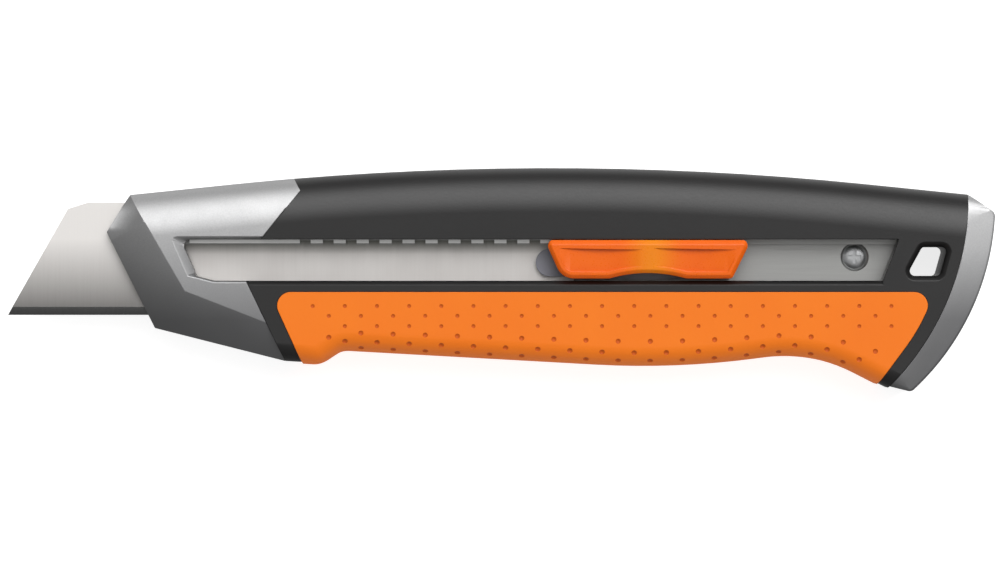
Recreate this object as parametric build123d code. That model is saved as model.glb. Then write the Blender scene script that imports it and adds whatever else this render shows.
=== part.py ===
from build123d import *

# Utility knife with a long snap-off blade, lying on its right side.
# +X runs from the blade's point to the tail, +Y from the cutting edge to the spine, and +Z up, out of
# the left side with the thumb slider. The origin is under the middle of the knife, on the surface that it
# lies on. Sizes are millimetres. Pieces are drawn from the blade's point, with the blade's middle plane at
# Z 0, and are moved to the knife's own origin when they are written.
import math
import os

# Blade: stock of one standard width, with one slanted end, a ground edge and a hole for the slider's pin
BLADE_LENGTH = 126.0
BLADE_WIDTH = 25.0
BLADE_THICKNESS = 0.7
BLADE_SLANT = 60.5
BACK_CORNER_LENGTH = 4.4
BACK_CORNER_DROP = 1.4
GROUND_BAND = 1.8
EDGE_FLAT = 0.06
PIN_INSET = 5.4
PIN_RADIUS = 2.4
PIN_PLAY = 0.1
SEGMENT_PITCH = 15.3
SCORE_COUNT = 6
SCORE_WIDTH = 0.5
SCORE_DEPTH = 0.22

# Rail: folded sheet steel that guides the blade, with a notched upper lip
SHEET = 0.8
BLADE_PLAY = 0.1
EDGE_PLAY = 0.3
RAIL_FRONT_X = 34.5
RAIL_BEYOND_SLOT = 1.4
RAIL_BEND_RADIUS = 0.7
UPPER_LIP_SHOWS = 1.1
LOWER_LIP_HIDES = 0.7
NOTCH_PITCH = 5.1
NOTCHES_AHEAD = 12
NOTCHES_BEHIND = 5
NOTCH_WIDTH = 2.4
NOTCH_DEPTH = 0.9
FLANGE_HEIGHT = 3.2
FLANGE_FRONT_GAP = 1.8

# Slot for the thumb slider
SLOT_WIDTH = 9.2
SLOT_DROP = 0.3
SLOT_FRONT_X = 38.8
SLOT_FRONT_SLANT = 3.5
SLOT_CHIN_RISE = 1.0
SLOT_CHIN_LENGTH = 4.0
SLOT_CORNER = 1.5
SLOT_REAR_SLANT = 3.6
SLOT_BEVEL = 0.9
SLOT_TOP_BEVEL = 0.6
SLOT_LIP_BEVEL = 0.4
MOUTH_WIDTH = 1.7
MOUTH_DEPTH = 1.0

# Slider travel, and the gap that is left at its rear stop
TIP_COVER = 1.2
END_PLAY = 0.3

# Handle body, measured from the blade's middle plane
LEFT_SIDE = 8.0
RIGHT_SIDE = 9.5
SPINE_ROUND_LEFT = 6.5
SPINE_ROUND_RIGHT = 7.5
BELLY_ROUND = 4.0
WALL = 2.2
FIT = 0.05

# Side outline: heights above the blade's back or below its edge, stations from the point or the slot's rear
NOSE_TOP_X = 27.4
NOSE_TOP_RISE = 1.7
BROW_X = 22.2
BROW_DROP = 6.6
CHIN_X = 32.9
CHIN_DROP = 2.9
NOSE_HEEL_X = 61.9
NOSE_HEEL_DROP = 10.2
GUARD_X = 69.6
GUARD_DROP = 10.65
GUARD_ROUND = 4.5
FINGER_X = 74.4
FINGER_DROP = 7.5
FINGER_ROUND = 5.0
BELLY_FROM_REAR = 49.4
BELLY_DROP = 11.6
BELLY_BOW = 190.0
LITTLE_FINGER_FROM_REAR = 19.0
LITTLE_FINGER_DROP = 7.6
LITTLE_FINGER_BOW = 35.0
POMMEL_FROM_REAR = 3.8
POMMEL_DROP = 15.35
SPINE_CREST_RISE = 11.3
SPINE_BOW = 690.0

# Joint between the nose and the shells
NOSE_JOINT_CROWN_X = 65.3
NOSE_JOINT_CROWN_RISE = 2.6
NOSE_JOINT_CROWN_SLOPE = 0.56
NOSE_JOINT_SLOT_TOP_X = 56.6
NOSE_JOINT_SLOT_LOW_X = 53.3
NOSE_PASSAGE_PLAY = 0.25

# Nose facets: half thickness left at the front edge and at the heel, and where the facets meet the side
NOSE_EDGE_HALF = 3.0
NOSE_HEEL_HALF = 4.8
FACET_CORNER_X = 39.8
FACET_CORNER_Y = 5.3

# Tail cap
TAIL_TOP_BEYOND = 15.6
TAIL_TOP_RISE = 1.8
TAIL_END_BEYOND = 21.4
TAIL_END_DROP = 2.4
TAIL_TIP_BEYOND = 2.8
TAIL_TIP_DROP = 17.0
TAIL_BULGE = 4.4
TAIL_END_ROUND = 1.5
TAIL_JOINT_KNEE_BEYOND = 13.8
TAIL_JOINT_KNEE_RISE = 2.0
TAIL_JOINT_BOW = 60.0
TAIL_JOINT_TOP_LEAN = 0.072
TAIL_JOINT_LOW_LEAN = 0.883
TAIL_EDGE_BEVEL = 0.4
TAIL_FALL = 0.2
TAIL_FALL_START = 0.6

# Grip pads, let into the shells
PAD_PROUD = 0.4
PAD_DEPTH = 1.6
PAD_TOP_BELOW_SLOT = 2.5
PAD_FRONT_X = 58.6
PAD_FRONT_SLANT = 0.455
PAD_REAR_BEYOND = 8.0
PAD_KNEE_BEYOND = 4.0
PAD_KNEE_DROP = 3.6
PAD_REAR_LEAN = 0.74
PAD_REAR_BOW = 40.0
PAD_CORNER_ROUND = 3.0

# Lanyard hole, a slanted four-sided hole behind the slot
LANYARD_BEYOND = 1.7
LANYARD_LOW_LENGTH = 7.3
LANYARD_TOP_LENGTH = 5.6
LANYARD_HEIGHT = 6.4
LANYARD_SLANT = 3.5
LANYARD_RISE = 1.1
LANYARD_CORNER = 1.1
LANYARD_BEVEL = 1.1

# Slider carrier, its plate, pin and rivets
CARRIER_PLAY = 0.3
TONGUE_RADIUS = 3.1
TONGUE_TOP = 2.3
CARRIER_TOP = 3.4
CARRIER_LENGTH = 34.5
CARRIER_LIFT = 0.05
PLATE_BEYOND_CARRIER = 1.2
PLATE_INSET = 0.5
PLATE_GAP = 0.3
RIVET_RADIUS = 1.2
RIVET_HEAD_RADIUS = 1.9
RIVET_HEAD_HEIGHT = 0.6
RIVET_SINK = 0.2
FRONT_RIVET_BEHIND_TOOTH = 17.0
REAR_RIVET_FROM_END = 3.0
RIVET_INSET = 2.4
PIN_CAP = 0.4

# Lock spring: a flat leaf whose tooth stands in a notch of the rail
LEAF_THICKNESS = 0.5
LEAF_LENGTH = 21.0
LEAF_WIDTH = 4.0
TOOTH_BEHIND_BLADE = 1.5
TOOTH_WIDTH = 2.0
TOOTH_BITE = 0.7

# Thumb button and its return spring
BUTTON_AHEAD_OF_BLADE_END = 6.4
BUTTON_LENGTH = 45.3
BUTTON_PLAY_LOW = 0.5
BUTTON_PLAY_HIGH = 0.7
BUTTON_FRONT_SLANT = 3.7
BUTTON_REAR_SLANT = 4.0
BUTTON_UNDERSIDE = 4.5
BUTTON_STANDS_OUT = 1.9
BUTTON_CORNER_SMALL = 1.0
BUTTON_CORNER_LARGE = 4.0
SCOOP_DEPTH = 0.9
SCOOP_LENGTH = 18.4
SCOOP_SPREAD = 20.8
WAIST_DEPTH = 1.2
WAIST_LENGTH = 17.0
BUTTON_EDGE_BEVEL = 0.8
BUTTON_RIM = 1.5
LEG_LENGTH = 3.0
LEG_WIDTH = 2.6
LEG_INSET = 1.3
LEG_FLOOR = 1.2
LEG_PLAY = 0.15
FRONT_LEG_BEHIND_TOOTH = 1.1
REAR_LEG_FROM_END = 10.5
PRESS_TRAVEL = 0.8
BOW_STATION = 6.6
BOW_LENGTH = 9.0
BOW_WIDTH = 4.0
BOW_THICKNESS = 0.25

# Screws: one countersunk screw holds the rail, pan-head screws clamp the shells
SCREW_RADIUS = 1.45
SCREW_PLAY = 0.15
PILOT_PLAY = 0.05
SCREW_HEAD_RADIUS = 2.6
SCREW_HEAD_HEIGHT = 1.3
SCREW_LENGTH = 12.0
SCREW_BORE_SPARE = 0.6
HEAD_PLAY = 0.3
MIDDLE_SCREW_FROM_REAR = 62.0
MIDDLE_SCREW_DROP = 4.0
CROWN_SCREW_BEYOND = 6.2
POMMEL_SCREW_FROM_REAR = 1.4
RAIL_SCREW_FROM_REAR = 9.3
RAIL_SCREW_RISE = 0.7
RAIL_SCREW_HEAD_RADIUS = 3.1
RAIL_SCREW_LENGTH = 5.0
DIMPLE_WALL = 1.0

# Tongues of the nose and the tail that the shells clamp
TONGUE_HALF = 2.5
NOSE_TONGUE_OVERLAP = 10.0
NOSE_TONGUE_HEIGHT = 4.8
CROWN_TONGUE_HALF = 1.5
CROWN_TONGUE_HEIGHT = 2.0
CROWN_TAIL_TONGUE_AHEAD = 1.2
POMMEL_TONGUE_FROM_REAR = 6.0
TAIL_TONGUE_TOP_DROP = 1.8
TAIL_TONGUE_HEIGHT = 6.0
TAIL_TONGUE_LOW = 8.8

# Hollows in the shells, between cross ribs
RIB = 1.8
HOLLOW_PITCH = 19.0
HOLLOW_START_X = 78.0
HOLLOW_COUNT = 5
HOLLOW_MARGIN = 2.0
HOLLOW_LOW_Y = -1.0

# Lines worked out from the sizes above
FAR = 60.0
BACK_Y = BLADE_WIDTH
SLOT_MID_Y = BLADE_WIDTH / 2 - SLOT_DROP
SLOT_TOP_Y = SLOT_MID_Y + SLOT_WIDTH / 2
SLOT_LOW_Y = SLOT_MID_Y - SLOT_WIDTH / 2
BROW_Y = BACK_Y - BROW_DROP
EDGE_EXIT_X = BROW_X + (CHIN_X - BROW_X) * BROW_Y / (BROW_Y + CHIN_DROP)
RETRACT_TRAVEL = EDGE_EXIT_X + TIP_COVER
BUTTON_FRONT_X = BLADE_LENGTH - BUTTON_AHEAD_OF_BLADE_END
BUTTON_REAR_X = BUTTON_FRONT_X + BUTTON_LENGTH
SLOT_REAR_X = BUTTON_REAR_X + RETRACT_TRAVEL + END_PLAY
RAIL_REAR_X = SLOT_REAR_X + RAIL_BEYOND_SLOT
RAIL_INNER_HALF = BLADE_THICKNESS / 2 + BLADE_PLAY
RAIL_HALF = RAIL_INNER_HALF + SHEET
RAIL_LOW_Y = -EDGE_PLAY - SHEET
RAIL_TOP_Y = BACK_Y + EDGE_PLAY + SHEET
UPPER_LIP_Y = SLOT_TOP_Y - UPPER_LIP_SHOWS
LOWER_LIP_Y = SLOT_LOW_Y - LOWER_LIP_HIDES
TOOTH_X = BLADE_LENGTH + TOOTH_BEHIND_BLADE
PIN_X = BLADE_LENGTH - PIN_INSET
CARRIER_LOW_Y = SLOT_LOW_Y + CARRIER_PLAY
CARRIER_TOP_Y = UPPER_LIP_Y - CARRIER_PLAY
CARRIER_MID_Y = (CARRIER_LOW_Y + CARRIER_TOP_Y) / 2
CARRIER_BOTTOM = BLADE_THICKNESS / 2 + CARRIER_LIFT
CARRIER_REAR_X = BLADE_LENGTH + CARRIER_LENGTH
FRONT_LEG_X = TOOTH_X + FRONT_LEG_BEHIND_TOOTH
REAR_LEG_X = CARRIER_REAR_X - REAR_LEG_FROM_END
LEAF_BOTTOM = CARRIER_BOTTOM
LEAF_TOP = LEAF_BOTTOM + LEAF_THICKNESS
BUTTON_TOP = LEFT_SIDE + BUTTON_STANDS_OUT
BUTTON_LOW_Y = SLOT_LOW_Y + BUTTON_PLAY_LOW
BUTTON_TOP_Y = SLOT_TOP_Y - BUTTON_PLAY_HIGH
BUTTON_MID_X = BUTTON_FRONT_X + BUTTON_LENGTH / 2
PAD_TOP_Y = SLOT_LOW_Y - PAD_TOP_BELOW_SLOT
RAIL_SCREW_X = SLOT_REAR_X - RAIL_SCREW_FROM_REAR
RAIL_SCREW_Y = SLOT_MID_Y + RAIL_SCREW_RISE
SCREW_SEAT = -(RIGHT_SIDE - PAD_DEPTH)
NOSE_SCREW = (NOSE_HEEL_X + NOSE_TONGUE_OVERLAP / 2, RAIL_LOW_Y - NOSE_TONGUE_HEIGHT / 2)
MIDDLE_SCREW = (SLOT_REAR_X - MIDDLE_SCREW_FROM_REAR, -MIDDLE_SCREW_DROP)
CROWN_SCREW = (RAIL_REAR_X + CROWN_SCREW_BEYOND, BACK_Y - TAIL_TONGUE_TOP_DROP - TAIL_TONGUE_HEIGHT / 2)
POMMEL_SCREW = (SLOT_REAR_X - POMMEL_SCREW_FROM_REAR, -(TAIL_TONGUE_LOW - TAIL_TONGUE_HEIGHT / 2))
TAIL_END_X = SLOT_REAR_X + TAIL_END_BEYOND
NOSE_TOP = (NOSE_TOP_X, BACK_Y + NOSE_TOP_RISE)
TAIL_TOP = (SLOT_REAR_X + TAIL_TOP_BEYOND, BACK_Y + TAIL_TOP_RISE)
SPINE_CREST = ((NOSE_TOP[0] + TAIL_TOP[0]) / 2, BACK_Y + SPINE_CREST_RISE)


def along(start, end, share):
    """The point that lies a share of the way from start to end, or past them."""
    return tuple(a + (b - a) * share for a, b in zip(start, end))


def prism(outline, low, high):
    """A straight-sided solid over a closed outline, from one height to another."""
    return extrude(Plane.XY.offset(low) * make_face(outline), high - low)


def block(x_range, y_range, z_range):
    """A box given by its limits along each axis."""
    limits = (x_range, y_range, z_range)
    size = [high - low for low, high in limits]
    middle = [(high + low) / 2 for low, high in limits]
    return Pos(*middle) * Box(*size)


def rod(place, radius, low, high):
    """An upright cylinder."""
    return Pos(place[0], place[1], (low + high) / 2) * Cylinder(radius, high - low)


def cone(place, low_radius, high_radius, low, high):
    """An upright cone cut off at both ends."""
    return Pos(place[0], place[1], (low + high) / 2) * Cone(low_radius, high_radius, high - low)


def rim(solid, level, test):
    """The edges of a solid that lie at one height, run lengthwise and pass the test."""
    level_edges = solid.edges().filter_by_position(Axis.Z, level - FIT, level + FIT)
    return level_edges.filter_by(lambda e: abs(e.tangent_at(0.5).X) > 0.3 and test(e.center().Y))


def spine_slab():
    """A slab as thick as the handle, with the bowed and rounded spine along its top."""
    left = along(SPINE_CREST, NOSE_TOP, 1.4)
    right = along(SPINE_CREST, TAIL_TOP, 1.4)
    spine = FilletPolyline(left, SPINE_CREST, right, radius=[SPINE_BOW])
    rest = Polyline(right, (right[0], -FAR), (left[0], -FAR), left)
    slab = prism(spine.edges() + rest.edges(), -RIGHT_SIDE, LEFT_SIDE)
    slab = fillet(rim(slab, LEFT_SIDE, lambda y: y > 0), SPINE_ROUND_LEFT)
    return fillet(rim(slab, -RIGHT_SIDE, lambda y: y > 0), SPINE_ROUND_RIGHT)


def belly_slab(grow, left, right, soften=fillet):
    """A slab with the finger-shaped underside along its bottom, moved outward by grow."""
    heel = (NOSE_HEEL_X, -NOSE_HEEL_DROP)
    guard = (GUARD_X, -GUARD_DROP)
    little_finger = (SLOT_REAR_X - LITTLE_FINGER_FROM_REAR, -LITTLE_FINGER_DROP)
    pommel = (SLOT_REAR_X - POMMEL_FROM_REAR, -POMMEL_DROP)
    start = along(guard, heel, 4.0)
    end = along(little_finger, pommel, 4.0)
    belly = FilletPolyline(
        start,
        guard,
        (FINGER_X, -FINGER_DROP),
        (SLOT_REAR_X - BELLY_FROM_REAR, -BELLY_DROP),
        little_finger,
        end,
        radius=[GUARD_ROUND, FINGER_ROUND, BELLY_BOW, LITTLE_FINGER_BOW],
    )
    rest = Polyline(end, (end[0], FAR), (start[0], FAR), start)
    outline = make_face(belly.edges() + rest.edges())
    if grow:
        outline = offset(outline, grow, kind=Kind.INTERSECTION)
    slab = extrude(Plane.XY.offset(-right) * outline, left + right)
    slab = soften(rim(slab, left, lambda y: y < 0), BELLY_ROUND + grow)
    return soften(rim(slab, -right, lambda y: y < 0), BELLY_ROUND + grow)


def nose_joint():
    """Corner points of the joint between nose and shells, from above the spine to below the belly."""
    crown = (NOSE_JOINT_CROWN_X, BACK_Y + NOSE_JOINT_CROWN_RISE)
    slot_low = (NOSE_JOINT_SLOT_LOW_X, SLOT_LOW_Y)
    return [
        (crown[0] - NOSE_JOINT_CROWN_SLOPE * (FAR - crown[1]), FAR),
        crown,
        (NOSE_JOINT_SLOT_TOP_X, SLOT_TOP_Y),
        slot_low,
        along(slot_low, (NOSE_HEEL_X, -NOSE_HEEL_DROP), 2.4),
    ]


def tail_joint():
    """The bowed joint between shells and tail cap, and its two end points."""
    knee = (SLOT_REAR_X + TAIL_JOINT_KNEE_BEYOND, TAIL_JOINT_KNEE_RISE)
    top = (knee[0] + TAIL_JOINT_TOP_LEAN * (FAR - knee[1]), FAR)
    low = (knee[0] - TAIL_JOINT_LOW_LEAN * FAR, knee[1] - FAR)
    return FilletPolyline(top, knee, low, radius=[TAIL_JOINT_BOW]), top, low


def shell_zone():
    """Ground plan of the shells, from the nose joint to the tail joint."""
    front = nose_joint()
    curve, top, low = tail_joint()
    edges = Polyline(*front).edges() + Polyline(front[-1], low).edges()
    edges += curve.edges() + Polyline(top, front[0]).edges()
    return prism(edges, -FAR, FAR)


def pad_zone():
    """Ground plan of the grip pads."""
    drop = FAR / 2
    front = (PAD_FRONT_X, PAD_TOP_Y)
    rear = (SLOT_REAR_X + PAD_REAR_BEYOND, PAD_TOP_Y)
    knee = (SLOT_REAR_X + PAD_KNEE_BEYOND, -PAD_KNEE_DROP)
    outline = FilletPolyline(
        (front[0] + PAD_FRONT_SLANT * (front[1] + drop), -drop),
        front,
        rear,
        knee,
        (knee[0] - PAD_REAR_LEAN * (drop - PAD_KNEE_DROP), -drop),
        radius=[0, PAD_CORNER_ROUND, PAD_CORNER_ROUND, PAD_REAR_BOW, 0],
        close=True,
    )
    return prism(outline.edges(), -FAR, FAR)


def slot_corners():
    """Corner points of the slider's slot, from its upper front corner round to its upper rear corner."""
    chin = (SLOT_FRONT_X + SLOT_FRONT_SLANT, SLOT_LOW_Y + SLOT_CHIN_RISE)
    return [
        (SLOT_FRONT_X, SLOT_TOP_Y),
        chin,
        (chin[0] + SLOT_CHIN_LENGTH, SLOT_LOW_Y),
        (SLOT_REAR_X - SLOT_REAR_SLANT, SLOT_LOW_Y),
        (SLOT_REAR_X, SLOT_TOP_Y),
    ]


def slot_cutter():
    """The slot through the left side, rounded at its upper front corner."""
    outline = FilletPolyline(*slot_corners(), radius=[SLOT_CORNER, 0, 0, 0, 0], close=True)
    return prism(outline.edges(), RAIL_HALF - FIT, LEFT_SIDE + WALL)


def slot_mouth():
    """The bevelled mouth of the slot in the nose, with a wide sloped front wall."""
    front, chin, low, rear, rear_top = slot_corners()
    y_range = (SLOT_LOW_Y - FAR, SLOT_TOP_Y + FAR)
    mouth = block((-FAR, NOSE_HEEL_X), y_range, (LEFT_SIDE - MOUTH_DEPTH, LEFT_SIDE + WALL))
    walls = (
        (front, chin, MOUTH_WIDTH, MOUTH_DEPTH),
        (chin, low, SLOT_LIP_BEVEL, SLOT_LIP_BEVEL),
        (low, rear, SLOT_LIP_BEVEL, SLOT_LIP_BEVEL),
        (rear_top, front, SLOT_TOP_BEVEL, SLOT_TOP_BEVEL),
    )
    for start, end, width, depth in walls:
        run = Vector(end[0] - start[0], end[1] - start[1]).normalized()
        lip = (start[0] + run.Y * width, start[1] - run.X * width, LEFT_SIDE)
        plane = Plane(origin=lip, z_dir=(run.Y * depth, -run.X * depth, -width))
        mouth = split(mouth, bisect_by=plane, keep=Keep.BOTTOM)
    upright = mouth.edges().filter_by(lambda e: abs(e.tangent_at(0.5).Z) > 0.1)
    corner = upright.sort_by_distance((front[0], front[1], LEFT_SIDE))[0]
    return fillet(corner, SLOT_CORNER)


def slot_bevel():
    """The bevel along the slot's lower edge in the left shell."""
    wide = SLOT_BEVEL + WALL
    corner = Polyline(
        (SLOT_LOW_Y - wide, LEFT_SIDE + WALL),
        (SLOT_LOW_Y + WALL, LEFT_SIDE - wide),
        (SLOT_LOW_Y + WALL, LEFT_SIDE + WALL),
        close=True,
    )
    start = NOSE_JOINT_SLOT_LOW_X - WALL
    length = SLOT_REAR_X - SLOT_REAR_SLANT - start
    return extrude(Plane.YZ.offset(start) * make_face(corner), length)


def lanyard_cutter():
    """The slanted lanyard hole through both shells, bevelled at both sides."""
    x = SLOT_REAR_X + LANYARD_BEYOND
    y = SLOT_LOW_Y + LANYARD_RISE
    outline = FilletPolyline(
        (x, y),
        (x + LANYARD_LOW_LENGTH, y),
        (x + LANYARD_SLANT + LANYARD_TOP_LENGTH, y + LANYARD_HEIGHT),
        (x + LANYARD_SLANT, y + LANYARD_HEIGHT),
        radius=LANYARD_CORNER,
        close=True,
    )
    hole = make_face(outline.edges())
    wide = offset(hole, 2 * LANYARD_BEVEL, kind=Kind.ARC)
    cutter = extrude(Plane.XY.offset(-FAR) * hole, 2 * FAR)
    for side in (LEFT_SIDE, -RIGHT_SIDE):
        step = LANYARD_BEVEL if side > 0 else -LANYARD_BEVEL
        low = Plane.XY.offset(side - step) * hole
        high = Plane.XY.offset(side + step) * wide
        cutter += loft([low, high])
    return cutter


def rail_room():
    """The room that the folded rail fills."""
    x_range = (RAIL_FRONT_X - FIT, RAIL_REAR_X + FIT)
    y_range = (RAIL_LOW_Y - FIT, RAIL_TOP_Y + FIT)
    return block(x_range, y_range, (-RAIL_HALF - FIT, RAIL_HALF + FIT))


def nose_tongues(grow):
    """The two tongues of the nose that reach back between the shells."""
    x_range = (NOSE_JOINT_SLOT_LOW_X, NOSE_HEEL_X + NOSE_TONGUE_OVERLAP + grow)
    low_y = (RAIL_LOW_Y - NOSE_TONGUE_HEIGHT - grow, RAIL_LOW_Y)
    crown_y = (RAIL_TOP_Y, RAIL_TOP_Y + CROWN_TONGUE_HEIGHT + grow)
    low = block(x_range, low_y, (-TONGUE_HALF - grow, TONGUE_HALF + grow))
    return low + block(x_range, crown_y, (-CROWN_TONGUE_HALF - grow, CROWN_TONGUE_HALF + grow))


def tail_tongues(grow):
    """The two tongues of the tail cap that reach forward between the shells."""
    top_y = BACK_Y - TAIL_TONGUE_TOP_DROP
    z_range = (-TONGUE_HALF - grow, TONGUE_HALF + grow)
    crown_x = (RAIL_REAR_X + CROWN_TAIL_TONGUE_AHEAD - grow, TAIL_END_X)
    low_x = (SLOT_REAR_X - POMMEL_TONGUE_FROM_REAR - grow, TAIL_END_X)
    crown = block(crown_x, (top_y - TAIL_TONGUE_HEIGHT - grow, top_y + grow), z_range)
    low_y = (-TAIL_TONGUE_LOW - grow, -TAIL_TONGUE_LOW + TAIL_TONGUE_HEIGHT + grow)
    return crown + block(low_x, low_y, z_range)


def hollows(y_range, z_range):
    """A row of hollows along a shell, with cross ribs left between them."""
    row = []
    for step in range(HOLLOW_COUNT):
        x = HOLLOW_START_X + step * HOLLOW_PITCH
        row.append(block((x, x + HOLLOW_PITCH - RIB), y_range, z_range))
    return row


def front_facets(nose):
    """The nose with its front end swept thinner, from a ridge across each side to the front edge."""
    run = Vector(NOSE_TOP[0] - FACET_CORNER_X, NOSE_TOP[1] - FACET_CORNER_Y).normalized()
    ahead = Vector(-run.Y, run.X)
    reach = ahead.dot(Vector(CHIN_X - FACET_CORNER_X, -CHIN_DROP - FACET_CORNER_Y))
    ridge = Plane(origin=(FACET_CORNER_X, FACET_CORNER_Y, 0), z_dir=(ahead.X, ahead.Y, 0))
    rear = split(nose, bisect_by=ridge, keep=Keep.BOTTOM)
    front = split(nose, bisect_by=ridge, keep=Keep.TOP)
    section = rear.faces().filter_by(lambda f: abs(ridge.to_local_coords(f.center()).Z) < FIT / 10)[0]
    for side, height in ((-1, LEFT_SIDE), (1, RIGHT_SIDE)):
        fall = (height - NOSE_EDGE_HALF) / reach
        front &= extrude(section, FAR, dir=(ahead.X, ahead.Y, side * fall))
    return rear + front


def lower_facet(side):
    """The plane that bevels the underside of the nose at one side, facing outward."""
    height = LEFT_SIDE if side > 0 else RIGHT_SIDE
    corner = Vector(FACET_CORNER_X, FACET_CORNER_Y, side * height)
    chin = Vector(CHIN_X, -CHIN_DROP, side * NOSE_EDGE_HALF)
    heel = Vector(NOSE_HEEL_X, -NOSE_HEEL_DROP, side * NOSE_HEEL_HALF)
    return Plane(origin=chin, z_dir=(heel - chin).cross(corner - chin) * side)


def nose_casting(spine):
    """Die-cast nose that the blade runs out of, slipped over the front of the rail."""
    joint = nose_joint()
    outline = Polyline(
        along((BROW_X, BROW_Y), NOSE_TOP, 3.0),
        (BROW_X, BROW_Y),
        (CHIN_X, -CHIN_DROP),
        along((CHIN_X, -CHIN_DROP), (NOSE_HEEL_X, -NOSE_HEEL_DROP), 1.4),
        (NOSE_HEEL_X + FAR, FAR),
        close=True,
    )
    zone = Polyline(*joint, (-FAR, -FAR), (-FAR, FAR), close=True)
    nose = spine & prism(outline, -FAR, FAR) & prism(zone, -FAR, FAR)
    nose = front_facets(nose)
    for side in (1, -1):
        nose = split(nose, bisect_by=lower_facet(side), keep=Keep.BOTTOM)
    passage_half = BLADE_THICKNESS / 2 + NOSE_PASSAGE_PLAY
    passage_y = (-EDGE_PLAY - FIT, BACK_Y + EDGE_PLAY + FIT)
    nose += nose_tongues(0)
    nose -= block((-FAR, RAIL_FRONT_X), passage_y, (-passage_half, passage_half))
    nose -= rail_room()
    nose -= slot_cutter()
    nose -= slot_mouth()
    return nose - rod(NOSE_SCREW, SCREW_RADIUS + SCREW_PLAY, -FAR, FAR)


def pads(inner):
    """The two soft grip pads, which meet along the belly."""
    outer = belly_slab(PAD_PROUD, LEFT_SIDE + PAD_PROUD, RIGHT_SIDE)
    both = (outer & pad_zone()) - inner
    left = split(both, bisect_by=Plane.XY, keep=Keep.TOP)
    right = split(both, bisect_by=Plane.XY, keep=Keep.BOTTOM)
    for place in (NOSE_SCREW, MIDDLE_SCREW, POMMEL_SCREW):
        right -= rod(place, SCREW_HEAD_RADIUS + HEAD_PLAY, -FAR, 0)
    return left, right


def left_shell(handle, inner):
    """Left half of the handle, with the slider's slot and blind bores for the screws."""
    shell = split(handle & shell_zone(), bisect_by=Plane.XY, keep=Keep.TOP)
    shell -= pad_zone() - inner
    shell -= rail_room()
    shell -= slot_cutter()
    shell -= slot_bevel()
    shell -= lanyard_cutter()
    shell -= nose_tongues(FIT)
    shell -= tail_tongues(FIT)
    upper_y = (SLOT_TOP_Y + HOLLOW_MARGIN, BACK_Y - HOLLOW_MARGIN)
    lower_y = (HOLLOW_LOW_Y, SLOT_LOW_Y - HOLLOW_MARGIN - SLOT_BEVEL)
    shell -= hollows(upper_y, (0, LEFT_SIDE - WALL))
    shell -= hollows(lower_y, (0, LEFT_SIDE - PAD_DEPTH - WALL))
    bore_top = SCREW_SEAT + SCREW_LENGTH + SCREW_BORE_SPARE
    for place in (NOSE_SCREW, MIDDLE_SCREW, CROWN_SCREW, POMMEL_SCREW):
        shell -= rod(place, SCREW_RADIUS + PILOT_PLAY, -FIT, bore_top)
    return shell


def right_shell(handle, inner):
    """Right half of the handle, with the screws' seats and the boss for the rail screw."""
    shell = split(handle & shell_zone(), bisect_by=Plane.XY, keep=Keep.BOTTOM)
    shell -= pad_zone() - inner
    shell -= rail_room()
    shell -= lanyard_cutter()
    shell -= nose_tongues(FIT)
    shell -= tail_tongues(FIT)
    upper_y = (PAD_TOP_Y + HOLLOW_MARGIN, BACK_Y - HOLLOW_MARGIN)
    lower_y = (HOLLOW_LOW_Y, PAD_TOP_Y)
    shell -= hollows(upper_y, (-RIGHT_SIDE + WALL, 0))
    shell -= hollows(lower_y, (-RIGHT_SIDE + PAD_DEPTH + WALL, 0))
    for place in (NOSE_SCREW, MIDDLE_SCREW, CROWN_SCREW, POMMEL_SCREW):
        shell -= rod(place, SCREW_RADIUS + SCREW_PLAY, SCREW_SEAT - FIT, FIT)
    shell -= rod(CROWN_SCREW, SCREW_HEAD_RADIUS + HEAD_PLAY, -FAR, SCREW_SEAT)
    place = (RAIL_SCREW_X, RAIL_SCREW_Y)
    top = -RAIL_INNER_HALF
    wide = RAIL_SCREW_HEAD_RADIUS + FIT + DIMPLE_WALL
    narrow = SCREW_RADIUS + SCREW_PLAY
    shell -= cone(place, narrow + FIT, wide + FIT, top - wide + narrow, top)
    return shell - rod(place, SCREW_RADIUS + PILOT_PLAY, top - RAIL_SCREW_LENGTH - SCREW_BORE_SPARE, top)


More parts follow.
